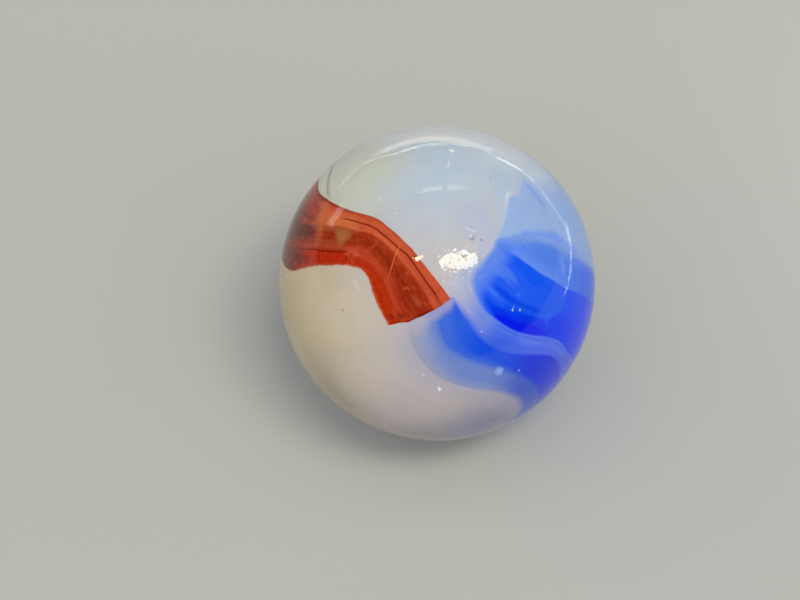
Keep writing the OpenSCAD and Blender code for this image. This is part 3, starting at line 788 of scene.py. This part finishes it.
red = soft_streaks(red, "red_soft", [
    (ORANGE_LIGHT, 0.14, 0.8, [(-26, 18.8, 0.1), (-22, 17, 0.24), (-18, 14, 0.26), (-14, 10.4, 0.30),
        (-10.4, 6.2, 0.26), (-7, 1.6, 0.18), (-4.6, -2.4, 0.1), (-3, -5, 0.05)]),
    (CORE, 0.16, 0.9, [(-33.4, 15.4, 0.05), (-31, 14.8, 0.36), (-27, 14.8, 0.42), (-23, 13.6, 0.36),
        (-19.6, 11, 0.34), (-16.8, 8, 0.32), (-14.4, 4.8, 0.34), (-12.2, 1.2, 0.42), (-10.6, -2, 0.42),
        (-9.4, -5, 0.3), (-8.8, -7, 0.05)]),
    (CORE, 0.12, 0.9, [(-8.6, 1.6, 0.03), (-7, -1.4, 0.18), (-5.6, -4.2, 0.24), (-4.2, -6.6, 0.26),
        (-2.8, -8.6, 0.26)]),
    (CORE_BROWN, 0.20, 0.8, [(-12.4, 6.4, 0.05), (-10.6, 3, 0.24), (-8.8, -0.6, 0.22),
        (-7.6, -3, 0.05)]),
    (RED_PINKISH, 0.18, 0.45, [(-18.6, 5.6, 0.05), (-16.4, 2.8, 0.36), (-14.8, 0, 0.36),
        (-13.6, -2.8, 0.05)]),
    (RED_PINKISH, 0.20, 0.8, [(-33.4, 11.6, 0.1), (-31, 11.5, 0.40), (-28, 11.4, 0.42),
        (-25, 10.8, 0.34), (-22, 9, 0.05)]),
    (OLIVE_BROWN, 0.16, 0.9, [(-9, -2.8, 0.03), (-7.6, -4.8, 0.28), (-6.3, -6.8, 0.36),
        (-5, -8.4, 0.1)]),
    (OLIVE_BROWN, 0.30, 0.9, [(-50, 19.4, 0.05), (-48, 19, 0.5), (-45, 18.6, 0.5), (-42, 18.6, 0.5),
        (-38, 18.4, 0.6), (-34, 18, 0.5), (-30, 17.6, 0.2)]),
    # The first tan band, upright across the ribbon's streaks, is a painted reflection.
    (TAN, 0.50, 0.5, [(-48.6, 30, 0.9), (-48.6, 26, 1.2), (-47.8, 21, 1.0), (-47.4, 16, 1.0),
        (-47, 12.4, 0.7)]),
    (TAN, 0.30, 0.6, [(-56, 30, 0.2), (-52, 27.6, 0.5), (-47, 26, 0.5), (-42, 24.6, 0.3)]),
    # The olive patch is a painted reflection.
    (OLIVE_REFLECTION, 0.55, 0.95, [(-39.4, 17.6, 0.6), (-37, 16.8, 1.0), (-34.4, 16.2, 0.9), (-31.4, 16.2, 0.4)]),
    (OLIVE_REFLECTION, 0.40, 0.6, [(-36.8, 17, 0.4), (-36, 14.6, 0.7), (-35.2, 12.6, 0.5)]),
    (PINK_LIGHT, 0.24, 0.9, [(-34, 9.8, 0.1), (-31.8, 9.8, 0.4), (-29.4, 9.6, 0.4), (-27, 9.2, 0.1)]),
    (CORE, 0.14, 1.0, [(-45, 16.4, 0.05), (-42.4, 16.6, 0.30), (-39.8, 16.6, 0.34), (-38, 16.5, 0.05)]),
    (BROWN, 0.18, 1.0, [(-92, 24, 0.5), (-80, 22.4, 0.8), (-70, 20, 0.9), (-62, 18.8, 0.84),
        (-55, 18.1, 0.70), (-51.4, 17.8, 0.56), (-49.8, 17.6, 0.1)]),
    (CORE_DARK, 0.16, 0.8, [(-92, 27, 0.3), (-76, 27, 0.4), (-66, 25, 0.30), (-60, 23.8, 0.24),
        (-55, 22.9, 0.20), (-51, 22.2, 0.05)]),
    (PINK, 0.12, 0.9, [(-32.4, 10.8, 0.05), (-31.2, 9.4, 0.34), (-30.2, 7.6, 0.36), (-29.6, 5.6, 0.3)]),
    (CORE, 0.30, 0.85, [(-18.4, -12.6, 0.2), (-16, -11.9, 0.44), (-13, -11.3, 0.56), (-10, -10.9, 0.48),
        (-7, -9.9, 0.44), (-4, -8.6, 0.3), (-1, -7.2, 0.05)]),
    (OLIVE_BROWN, 0.20, 0.7, [(-50, 14.4, 0.1), (-46, 14.2, 0.42), (-41, 13.9, 0.42),
        (-36, 13.6, 0.2)]),
    (ORANGE_LIGHT, 0.16, 0.5, [(-34, 22.6, 0.1), (-27, 21.2, 0.3), (-21, 19, 0.34), (-15, 14.8, 0.3),
        (-10, 11, 0.2), (-7.4, 8, 0.05)]),
    (ORANGE_LIGHT, 0.14, 0.5, [(-8, 6.8, 0.05), (-6, 3.8, 0.2), (-4, 0.8, 0.24), (-2, -2, 0.2),
        (0, -4.8, 0.05)]),
    (PURE_EDGE, 0.14, 0.9, [(-29, 6, 0.1), (-26.4, 4.8, 0.20), (-24.2, 2.2, 0.26), (-22.6, -1, 0.26),
        (-21.2, -4.4, 0.22), (-19.8, -8, 0.20), (-18.2, -11.4, 0.20), (-16.8, -13.6, 0.20)]),
    (PURE_DARK, 0.12, 0.55, [(-23.4, 3, 0.05), (-20.6, -2, 0.14), (-18.6, -7, 0.16),
        (-16.4, -11.6, 0.10)]),
    (PINK_LIGHT, 0.14, 0.7, [(-18.4, -12.6, 0.10), (-17.4, -13.4, 0.18), (-16.2, -13.6, 0.08)]),
    (CORE_DARK, 0.12, 0.6, [(-22, 12.6, 0.05), (-18.6, 9.4, 0.14), (-15.6, 5.6, 0.16),
        (-13.2, 1.4, 0.14), (-11.6, -2.6, 0.05)]),
    (PURE_DARK, 0.14, 0.6, [(-33.6, 8.6, 0.05), (-33, 8.5, 0.26), (-32.4, 8.3, 0.2)]),
    (PURE_DARK, 0.16, 0.45, [(-17.6, -9.4, 0.05), (-16, -11, 0.30), (-14.6, -12.6, 0.34)]),
    (CORE_DARK, 0.16, 0.55, [(-12, 1.6, 0.05), (-10.4, -1.2, 0.24), (-9.8, -3.4, 0.05)]),
    (CORE_DARK, 0.14, 0.45, [(-13.4, -2, 0.05), (-12, -4.6, 0.24), (-10.6, -8, 0.24),
        (-9.6, -10.6, 0.05)]),
    (PURE_DARK, 0.24, 0.75, [(-74, 10.6, 0.7), (-64, 8.4, 0.8), (-57, 8, 0.8), (-53, 8.2, 0.6),
        (-50.6, 8.4, 0.2)])])


def thin_line(distance, half_width, soft=0.03):
    """1 within half_width mm of a line on the skin, falling to 0 over soft mm."""
    return fade(calc("ABSOLUTE", distance), half_width + soft, half_width)


red_thread = streaks(red_run, red_across, 1.2, 17.0, 15.0, 3.0)
red_cloud = calc("SUBTRACT", grain(mm_place, 2.2, 4.0, 0.65), 0.5)
red_fleck = calc("SUBTRACT", grain(mm_place, 5.5, 4.0, 0.7), 0.5)
near_face = fade(red_run, 9.0, 6.5)
red = graded(red, red_fine, [(TAN, 0.02, 0.30, 0.34), (CORE_DARK, -0.02, -0.30, 0.50)])
red = over(red, TAN, times(fade(red_thread, 0.06, 0.30, 0.0, 0.34), near_face))
red = over(red, CORE_DARK, times(fade(red_thread, -0.06, -0.30, 0.0, 0.50), near_face))
red = graded(red, red_cloud, [(ORANGE_LIGHT, 0.04, 0.22, 0.40), (CORE, -0.04, -0.22, 0.40)])
red = graded(red, red_fleck, [(ORANGE_LIGHT, 0.04, 0.25, 0.30), (CORE, -0.04, -0.25, 0.45)])
# Painted shade: the red darkens towards the far left rim.
red = washed(red, [("far_rim_shade", BROWN, 0.8, (-88, 18), 14, 16)])
line_breaks = fade(streaks(red_run, past_red_line, 0.9, 0.5, 21.0), -0.30, -0.10)
main_line = times(thin_line(past_red_line, 0.022, 0.035), fade(red_run, 7.4, 6.6),
                  fade(red_run, 0.1, 0.6), line_breaks)
pure_line = times(thin_line(past_pure_top, 0.016), fade(red_run, 5.9, 6.4))
red = over(red, RED_THIN, times(main_line, 0.85))
red = over(red, PURE_DARK, times(pure_line, 0.70))
red = crisp_streaks(red, "red_line", [
    (CORE, 0.05, 0.40, [(-10, 9.2, 0.03), (-8, 6.6, 0.13), (-6.4, 4.4, 0.15), (-4.6, 1.8, 0.14),
        (-3, -0.6, 0.12), (-1.4, -2.8, 0.03)]),
    (CORE, 0.04, 0.45, [(-8.4, 5, 0.02), (-6, 1.2, 0.08), (-4, -1.8, 0.08), (-2.2, -4.6, 0.02)]),
    (CORE_DARK, 0.07, 0.75, [(-92, 43, 0.14), (-80, 41.4, 0.18), (-72, 38.8, 0.20), (-65, 35.5, 0.20),
        (-58, 32.3, 0.18), (-50, 29.7, 0.16), (-43, 27.5, 0.13), (-37, 25.7, 0.10), (-30, 24, 0.06),
        (-22, 21.6, 0.05), (-14, 16, 0.05), (-8, 11, 0.04), (-2, 2.6, 0.04), (3.4, -4.2, 0.04)]),
    # The brown line along the cut end is painted shadow under its edge.
    (BROWN, 0.06, 0.85, [(-14, -13.4, 0.08), (-10, -12.9, 0.10), (-7.4, -11.8, 0.12), (-5, -10.8, 0.16),
        (-3, -9.7, 0.14), (-1, -8.8, 0.07), (1, -7.6, 0.05)]),
    (PURE_DARK, 0.08, 0.8, [(-17.8, -13.8, 0.06), (-16, -13.5, 0.12), (-14, -13.2, 0.12),
        (-12, -12.9, 0.08)]),
    (PURE_DARK, 0.08, 0.7, [(-13.8, -8.6, 0.02), (-13, -10.4, 0.14), (-12.2, -12.4, 0.16)]),
    (SCRATCHED, 0.03, 0.8, [(-12, 14.6, 0.02), (-13, 12, 0.06), (-14.2, 9.4, 0.07), (-15.2, 6, 0.07),
        (-16, 3, 0.05), (-16.5, 0.4, 0.02)])])

low_edge = calc("ADD", wavering(past_red_low, 0.05), times(red_fleck, 0.18))
swirl_side = kept("swirl_side", near((50, -10), 92, 16))
blue = over(milk, blue, swirl_side)
in_red = times(fade(wavering(past_red_top, 0.05), -0.07, 0.0), fade(low_edge, 0.08, -0.04),
               fade(wavering(past_red_cut, 0.05), -0.05, 0.0))
colour = over(blue, red, in_red)


# ---- The marks of use -------------------------------------------------------------------
# A bare cream chip at the ribbon's upper edge, open bubbles, seeds of trapped air that shine
# white, pale wisps and specks, with painted light among them: painted highlights and painted
# shade in the bubbles, painted glints about the highlight and a short painted reflection of a
# pale arc above the middle. The chip and the bubbles are HOLLOWS, each with its place on the
# face and its width in mm.
CREAM = paint(255, 240, 216)
WHITE_SEED_AND_GLINT = paint(236, 234, 236)
BUBBLE_GLINT_BLUE = paint(176, 205, 255)
SEED_SOFT = paint(140, 166, 236)
SPECK = paint(112, 104, 92)
BUBBLE_GLINT_SOFT = paint(88, 138, 255)
PALE_WISP_AND_SHEEN = paint(216, 221, 228)
BUBBLE_SHADE = paint(126, 134, 172)
BUBBLE_HIGHLIGHT = paint(255, 253, 246)
BUBBLE_SHADOW = paint(112, 122, 108)
STRAW_REFLECTION = paint(214, 220, 226)
HOLLOWS = [
    ((-6.5, 8.3), 0.30), ((9, 9.5), 0.16), ((12, 15.5), 0.144), ((26.5, -9), 0.128),
    ((28.5, -4), 0.112), ((15.5, 14.5), 0.096)]
HOLLOW_DEPTH = 1 / 5  # of its width


def reach(place):
    """Distance in mm from a place on the skin."""
    middle = face_to_row(face_direction(place)) * ball_r_mm + np.array(ball_centre) / MM
    return add("VectorMath", mm_place, tuple(float(v) for v in middle), operation="DISTANCE", out=1)


def seeds(under, laid):
    """Lays small round marks over a colour, each (colour, soft mm, share, width mm, places)."""
    for seed_colour, soft, share, across, places in laid:
        for place in places:
            off = wavering(reach(place), 0.4 * across)
            under = graded(under, off, [(seed_colour, (across + soft) / 2, (across - soft) / 2, share)])
    return under


colour = seeds(colour, [
    (CORE_DARK, 0.06, 0.5, 0.12, [(-7.8, 8.8)]),
    (CREAM, 0.05, 1.0, 0.22, [(-6.7, 8.0), (-5.9, 8.4)]),
    (CREAM, 0.05, 0.9, 0.12, [(-5.0, 8.8)]),
    (PINK, 0.06, 0.6, 0.10, [(-23.3, 17), (-26.4, 14.8)]),
    (PURE_DARK, 0.08, 0.5, 0.10, [(-32.5, 8), (-31, 7)]),
    (SPECK, 0.10, 0.55, 0.14, [(-34.5, -9.3)]),
    (SPECK, 0.05, 0.6, 0.07, [(-41.5, 48.5), (-30, -27), (-52, -20)]),
    (BUBBLE_SHADE, 0.06, 0.6, 0.10, [(24, 38.4)]),
    (WHITE_SEED_AND_GLINT, 0.10, 0.75, 0.16, [(-66, 2)]),
    (WHITE_SEED_AND_GLINT, 0.10, 1.0, 0.26, [(8.5, 52.7)]),
    # Painted shade round the open bubble at (12, 15.5) and a painted highlight in it, and painted shade
    # round the bubble at (15.5, 14.5).
    (BUBBLE_SHADE, 0.08, 0.6, 0.28, [(12.3, 15.2)]),
    (PALE_WISP_AND_SHEEN, 0.08, 0.8, 0.16, [(11.9, 15.8)]),
    (BUBBLE_SHADE, 0.06, 0.4, 0.14, [(15.5, 14.4)]),
    (WHITE_SEED_AND_GLINT, 0.08, 0.50, 0.10, [(5.5, 44), (-23, 30), (-15, 24), (-45, 36), (-5.5, -32.9),
        (35, -31.5)]),
    (SEED_SOFT, 0.22, 0.95, 0.40, [(25.5, -31.5)]),
    # The white dots close by the highlight are painted glints.
    (WHITE_SEED_AND_GLINT, 0.04, 0.8, 0.06, [(15.8, -16.6), (4, 11), (6.4, 11.4), (16, 9.2), (2.6, 10.6)]),
    (SEED_SOFT, 0.06, 0.9, 0.12, [(29.6, -9.2)])])
colour = crisp_streaks(colour, "mark", [
    # A painted highlight on the dome of the open bubble by the highlight, and a painted shadow under
    # it.
    (BUBBLE_HIGHLIGHT, 0.05, 1.0, [(7.7, 9.9, 0.03), (8.4, 10.1, 0.22), (9.2, 10.2, 0.28), (10, 10.1, 0.20),
        (10.8, 9.9, 0.03)]),
    (BUBBLE_SHADOW, 0.04, 0.9, [(7.9, 9.1, 0.02), (8.6, 8.6, 0.09), (9.6, 8.5, 0.10), (10.5, 8.9, 0.02)]),
    # Painted highlights in the open bubbles at (26.5, -9) and (28.5, -4).
    (BUBBLE_GLINT_BLUE, 0.05, 1.0, [(26.5, -10.1, 0.06), (26.7, -9.4, 0.15), (26.8, -8.8, 0.08),
        (27.1, -8.0, 0.06), (27.3, -7.2, 0.02)]),
    (BUBBLE_GLINT_SOFT, 0.10, 0.9, [(28.6, -2.6, 0.05), (28.7, -4, 0.17), (28.9, -5.4, 0.05)]),
    (WHITE_SEED_AND_GLINT, 0.10, 1.0, [(0.8, -37.6, 0.10), (1, -39, 0.28), (1.2, -40.4, 0.10)]),
    (PALE_WISP_AND_SHEEN, 0.12, 0.8, [(8, 51.6, 0.08), (7.5, 49.8, 0.16), (6.6, 47.8, 0.05), (5.7, 45.6, 0.22),
        (4.8, 43.4, 0.05)]),
    (PALE_WISP_AND_SHEEN, 0.10, 0.6, [(-22, 38.6, 0.02), (-20, 40.2, 0.12), (-17.2, 41.8, 0.04)]),
    (PALE_WISP_AND_SHEEN, 0.12, 0.6, [(-24.6, 27.6, 0.04), (-23, 29.4, 0.18), (-21.6, 31.2, 0.05)]),
    (PALE_WISP_AND_SHEEN, 0.08, 0.8, [(9, 18.8, 0.02), (10.6, 18.7, 0.14), (12, 18, 0.10), (13, 17.6, 0.16),
        (14.6, 17.4, 0.02)]),
    (SEED_SOFT, 0.12, 0.5, [(25.2, -31, 0.10), (24.6, -30, 0.08), (24, -29, 0.02)]),
    (WHITE_SEED_AND_GLINT, 0.05, 0.5, [(-7.8, -16.5, 0.02), (-6.4, -16.7, 0.05), (-4.9, -16.5, 0.02)])])
# The straw streaks and the first two straw lines are a painted reflection: a short broken pale arc
# above the middle of the face.
colour = soft_streaks(colour, "straw_reflection", [
    (STRAW_REFLECTION, 0.18, 0.75, [(-6.4, 32.4, 0.05), (-5, 33, 0.34), (-2.8, 33.5, 0.44), (0, 33.8, 0.42),
        (2.2, 34, 0.36), (2.8, 34, 0.05)]),
    (STRAW_REFLECTION, 0.22, 0.55, [(3.6, 34, 0.1), (4.6, 34.2, 0.50), (7, 34.3, 0.50), (9.5, 34.2, 0.30),
        (13.2, 33.6, 0.16), (16.9, 33.2, 0.02)])])
colour = crisp_streaks(colour, "straw_reflection_line", [
    (WHITE_SEED_AND_GLINT, 0.08, 0.8, [(-8.2, 31.6, 0.03), (-6.6, 32, 0.12), (-4.4, 32.5, 0.06),
        (-2.8, 32.8, 0.02)]),
    (PALE_WISP_AND_SHEEN, 0.08, 0.7, [(-2.8, 32.8, 0.03), (-0.4, 33.2, 0.12), (1.6, 33.5, 0.08),
        (2.6, 33.6, 0.02)]),
    (PALE_WISP_AND_SHEEN, 0.14, 0.8, [(2.4, 43, 0.05), (4.4, 43.9, 0.20), (5.8, 44.6, 0.16), (7.3, 45.4, 0.03)]),
    (BUBBLE_SHADE, 0.08, 0.35, [(3, 34.8, 0.04), (3.1, 33.8, 0.10), (3.1, 32.8, 0.03)]),
    (BUBBLE_SHADE, 0.05, 0.55, [(8.3, 33.2, 0.02), (9.4, 33.1, 0.05), (10.8, 33.1, 0.02)])])

hollow = np.zeros(len(skin))
for place, across in HOLLOWS:
    off = np.linalg.norm(skin - face_direction(place), axis=1) * ball_r_mm
    bowl = np.clip(1 - (2 * off / across) ** 2, 0, 1)
    hollow = np.maximum(hollow, across * HOLLOW_DEPTH * bowl)


# ---- The glass's skin -------------------------------------------------------------------
# Fire-polished and hard, it mirrors the lamps, but it isn't quite true: it waves by a few
# microns and fine pits roughen it near the middle of the face, so mirrored edges are ragged.
# Its colours lie just under it, so light goes a little way in before it comes back.
GLASS_IOR = 1.5
SKIN_GLOSS = 0.4
SKIN_ROUGHNESS = 0.05
UNDER_SKIN_SHARE = 0.10              # the share of the light that goes in and comes back
UNDER_SKIN_MM = 0.3                  # how far it goes
UNDER_SKIN_SPREAD = (1.0, 0.8, 0.7)  # of that way, for red, green and blue light
WAVE_HEIGHT = 14e-6
SMALL_WAVE, RIPPLE, PIT, BOWL = 0.18, 0.40, -0.40, -2.0  # of WAVE_HEIGHT

wave = grain(mm_place, 0.8, 2.0, 0.5)
ripple = calc("ADD", wave, times(grain(mm_place, 3.4, 3.0, 0.6), SMALL_WAVE))
pitted = kept("pitted", 0.25 + 0.75 * near((8, 10), 5, 12))
ripple = calc("ADD", ripple, times(grain(mm_place, 5.0, 0.0), pitted, RIPPLE))
pit = fade(add("TexVoronoi", mm_place, None, 4.5), 0.26, 0.06, 0.0, PIT)
ripple = calc("ADD", ripple, times(pit, pitted))
for place, across in HOLLOWS:
    ripple = calc("ADD", ripple, fade(reach(place), 0.8 * across, 0.3 * across, 0.0, BOWL))
skin_bump = tree.nodes.new("ShaderNodeBump")
skin_bump.inputs["Strength"].default_value = 1.0
skin_bump.inputs["Distance"].default_value = WAVE_HEIGHT
tree.links.new(ripple, skin_bump.inputs["Height"])

skin_shader = tree.nodes.new("ShaderNodeBsdfPrincipled")
skin_shader.inputs["IOR"].default_value = GLASS_IOR
skin_shader.inputs["Specular IOR Level"].default_value = SKIN_GLOSS
skin_shader.inputs["Roughness"].default_value = SKIN_ROUGHNESS
skin_shader.inputs["Subsurface Weight"].default_value = UNDER_SKIN_SHARE
skin_shader.inputs["Subsurface Radius"].default_value = UNDER_SKIN_SPREAD
skin_shader.inputs["Subsurface Scale"].default_value = UNDER_SKIN_MM * MM
tree.links.new(colour, skin_shader.inputs["Base Color"])
tree.links.new(skin_bump.outputs[0], skin_shader.inputs["Normal"])
material_output = tree.nodes.new("ShaderNodeOutputMaterial")
tree.links.new(skin_shader.outputs[0], material_output.inputs["Surface"])

skin_mesh = bpy.data.meshes.new("glass_marble")
skin_points = face_to_row(skin) * (ball_r - hollow * MM)[:, None] + np.array(ball_centre)
skin_mesh.from_pydata(skin_points, [], skin_squares)
skin_mesh.polygons.foreach_set("use_smooth", np.ones(len(skin_squares), bool))
bake_map = skin_mesh.uv_layers.new(name="OFBake")
bake_map.data.foreach_set("uv", skin_charts.astype(np.float32).ravel())
for name, numbers in marks.items():
    mark = skin_mesh.attributes.new(name, "FLOAT", "POINT")
    mark.data.foreach_set("value", numbers.astype(np.float32))
skin_mesh.materials.append(glass)
skin_mesh.update()
glass_marble = bpy.data.objects.new("glass_marble", skin_mesh)
bpy.context.scene.collection.objects.link(glass_marble)
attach(glass_marble, "root")
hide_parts("marble")


# ---- The studio -------------------------------------------------------------------------
# A plain pale floor under soft panels: overhead, right, left, in front and low behind. A small
# warm lamp of four panes gives the ball its highlight, and narrow strips close to it give the
# arcs of mirrored light along its far edge.
FLOOR_COLOUR = (0.46, 0.46, 0.45)
FLOOR_ROUGHNESS = 0.9
FLOOR_W = 3.0
ROOM_LIGHT = 0.06
DAY, SKY, PALE_SKY = (0.97, 0.99, 1.0), (0.90, 0.96, 1.0), (0.88, 0.94, 1.0)
WARM_WHITE = (1.0, 0.98, 0.94)
HIGHLIGHT_COLOUR, HIGHLIGHT_GLOW = (1.0, 0.97, 0.74), 14.0
OVERHEAD = 60  # degrees above the horizon, from where a lamp's long side runs along X

floor_mesh = bpy.data.meshes.new("floor")
half = FLOOR_W / 2
floor_corners = [(-half, -half, 0), (half, -half, 0), (half, half, 0), (-half, half, 0)]
floor_mesh.from_pydata(floor_corners, [], [(0, 1, 2, 3)])
floor_mesh.transform(Matrix.Translation((0, 0, ball_low.z)))
floor_finish = bpy.data.materials.new("pale_floor")
floor_finish.use_nodes = True
floor_shader = floor_finish.node_tree.nodes["Principled BSDF"]
floor_shader.inputs["Base Color"].default_value = (*FLOOR_COLOUR, 1)
floor_shader.inputs["Roughness"].default_value = FLOOR_ROUGHNESS
floor_mesh.materials.append(floor_finish)
floor = bpy.data.objects.new("floor", floor_mesh)
bpy.context.scene.collection.objects.link(floor)

world = bpy.data.worlds.new("room")
bpy.context.scene.world = world
world.use_nodes = True
world.node_tree.nodes["Background"].inputs["Color"].default_value = (1.0, 1.0, 1.0, 1)
world.node_tree.nodes["Background"].inputs["Strength"].default_value = ROOM_LIGHT


def soft_lamp(name, right, up, away, size, glow, colour, tilt=0, mirrored=True, beside=(0, 0)):
    """A flat lamp that faces the ball from a direction in degrees: right from the front, and
    up from the horizon. Its long side lies tilt degrees from level, glow is how bright its
    face is, and beside moves it in its own plane. The ball mirrors it unless mirrored is False."""
    lamp = bpy.data.lights.new(name, "AREA")
    lamp.shape = "RECTANGLE"
    lamp.size, lamp.size_y = size
    lamp.energy = glow * math.pi * size[0] * size[1]
    lamp.color = colour
    shown = bpy.data.objects.new(name, lamp)
    a, e = math.radians(right), math.radians(up)
    towards = Vector((math.sin(a) * math.cos(e), -math.cos(a) * math.cos(e), math.sin(e)))
    level = Vector((math.cos(a), math.sin(a), 0)) if up < OVERHEAD else Vector((1, 0, 0))
    side = (level - towards * level.dot(towards)).normalized()
    place = Matrix.Translation(ball_centre + towards * away)
    facing = Matrix((side, towards.cross(side), towards)).transposed().to_4x4()
    turn = Matrix.Rotation(math.radians(tilt), 4, "Z")
    shown.matrix_world = place @ facing @ turn @ Matrix.Translation((*beside, 0))
    shown.visible_glossy = mirrored
    bpy.context.scene.collection.objects.link(shown)
    return shown


soft_lamp("overhead_panel", 10, 74, 1.0, (1.6, 1.4), 0.95, DAY, mirrored=False)
soft_lamp("right_panel", 80, 22, 0.9, (1.4, 0.8), 0.75, DAY, mirrored=False)
soft_lamp("left_panel", -80, 26, 0.9, (1.4, 0.8), 0.85, (1.0, 0.99, 0.96), mirrored=False)
soft_lamp("front_panel", -5, 14, 1.0, (1.4, 0.6), 0.70, (0.98, 0.99, 1.0), mirrored=False)
for pane, size, beside in [
        ("middle", (0.200, 0.128), (0.004, 0)), ("left", (0.022, 0.098), (-0.107, -0.004)),
        ("left_end", (0.022, 0.060), (-0.129, 0.002)), ("right", (0.036, 0.100), (0.122, 0.006))]:
    soft_lamp(f"highlight_{pane}", 43, 68, 0.6, size, HIGHLIGHT_GLOW, HIGHLIGHT_COLOUR, tilt=5,
              beside=beside)
soft_lamp("back_panel", 180, 28, 0.7, (1.5, 0.62), 0.40, (0.80, 0.90, 1.0))
strips = [
    soft_lamp("back_strip_left", -169, 8, 0.20, (0.042, 0.0070), 4.0, (0.96, 0.98, 1.0), tilt=12),
    soft_lamp("back_strip_middle", 177, 4.3, 0.20, (0.060, 0.0060), 2.4, SKY, tilt=12),
    soft_lamp("back_strip_right", 163, 2.4, 0.20, (0.042, 0.0034), 2.0, SKY, tilt=-6),
    soft_lamp("back_card", 180, 0.4, 0.100, (0.070, 0.0140), 1.1, (0.97, 0.98, 1.0)),
    soft_lamp("corner_strip", 151, 4.7, 0.060, (0.0120, 0.0026), 4.0, SKY, tilt=30),
    soft_lamp("right_strip_back", 138, 2.3, 0.045, (0.0120, 0.0007), 3.5, PALE_SKY, tilt=8),
    soft_lamp("right_patch", 124, -1.5, 0.038, (0.0096, 0.0018), 1.2, PALE_SKY, tilt=34),
    soft_lamp("right_glow", 118, -5.5, 0.034, (0.0050, 0.0015), 3.0, (1.0, 0.92, 0.96), tilt=-3),
    soft_lamp("right_strip", 100.5, -5.5, 0.033, (0.0160, 0.0006), 5.0, (0.90, 0.95, 1.0), tilt=0.5),
    soft_lamp("left_strip", -144, 5.2, 0.060, (0.0176, 0.0010), 2.4, WARM_WHITE, tilt=-4),
    soft_lamp("left_strip_back", -158, 7.2, 0.100, (0.0225, 0.0018), 3.0, WARM_WHITE, tilt=-39),
    soft_lamp("left_patch", -121.8, 12.9, 0.206, (0.042, 0.024), 2.3, (1.0, 0.92, 0.90), tilt=-20),
]
for strip in strips:
    strip.visible_camera = False

bpy.context.scene.view_settings.view_transform = "Standard"
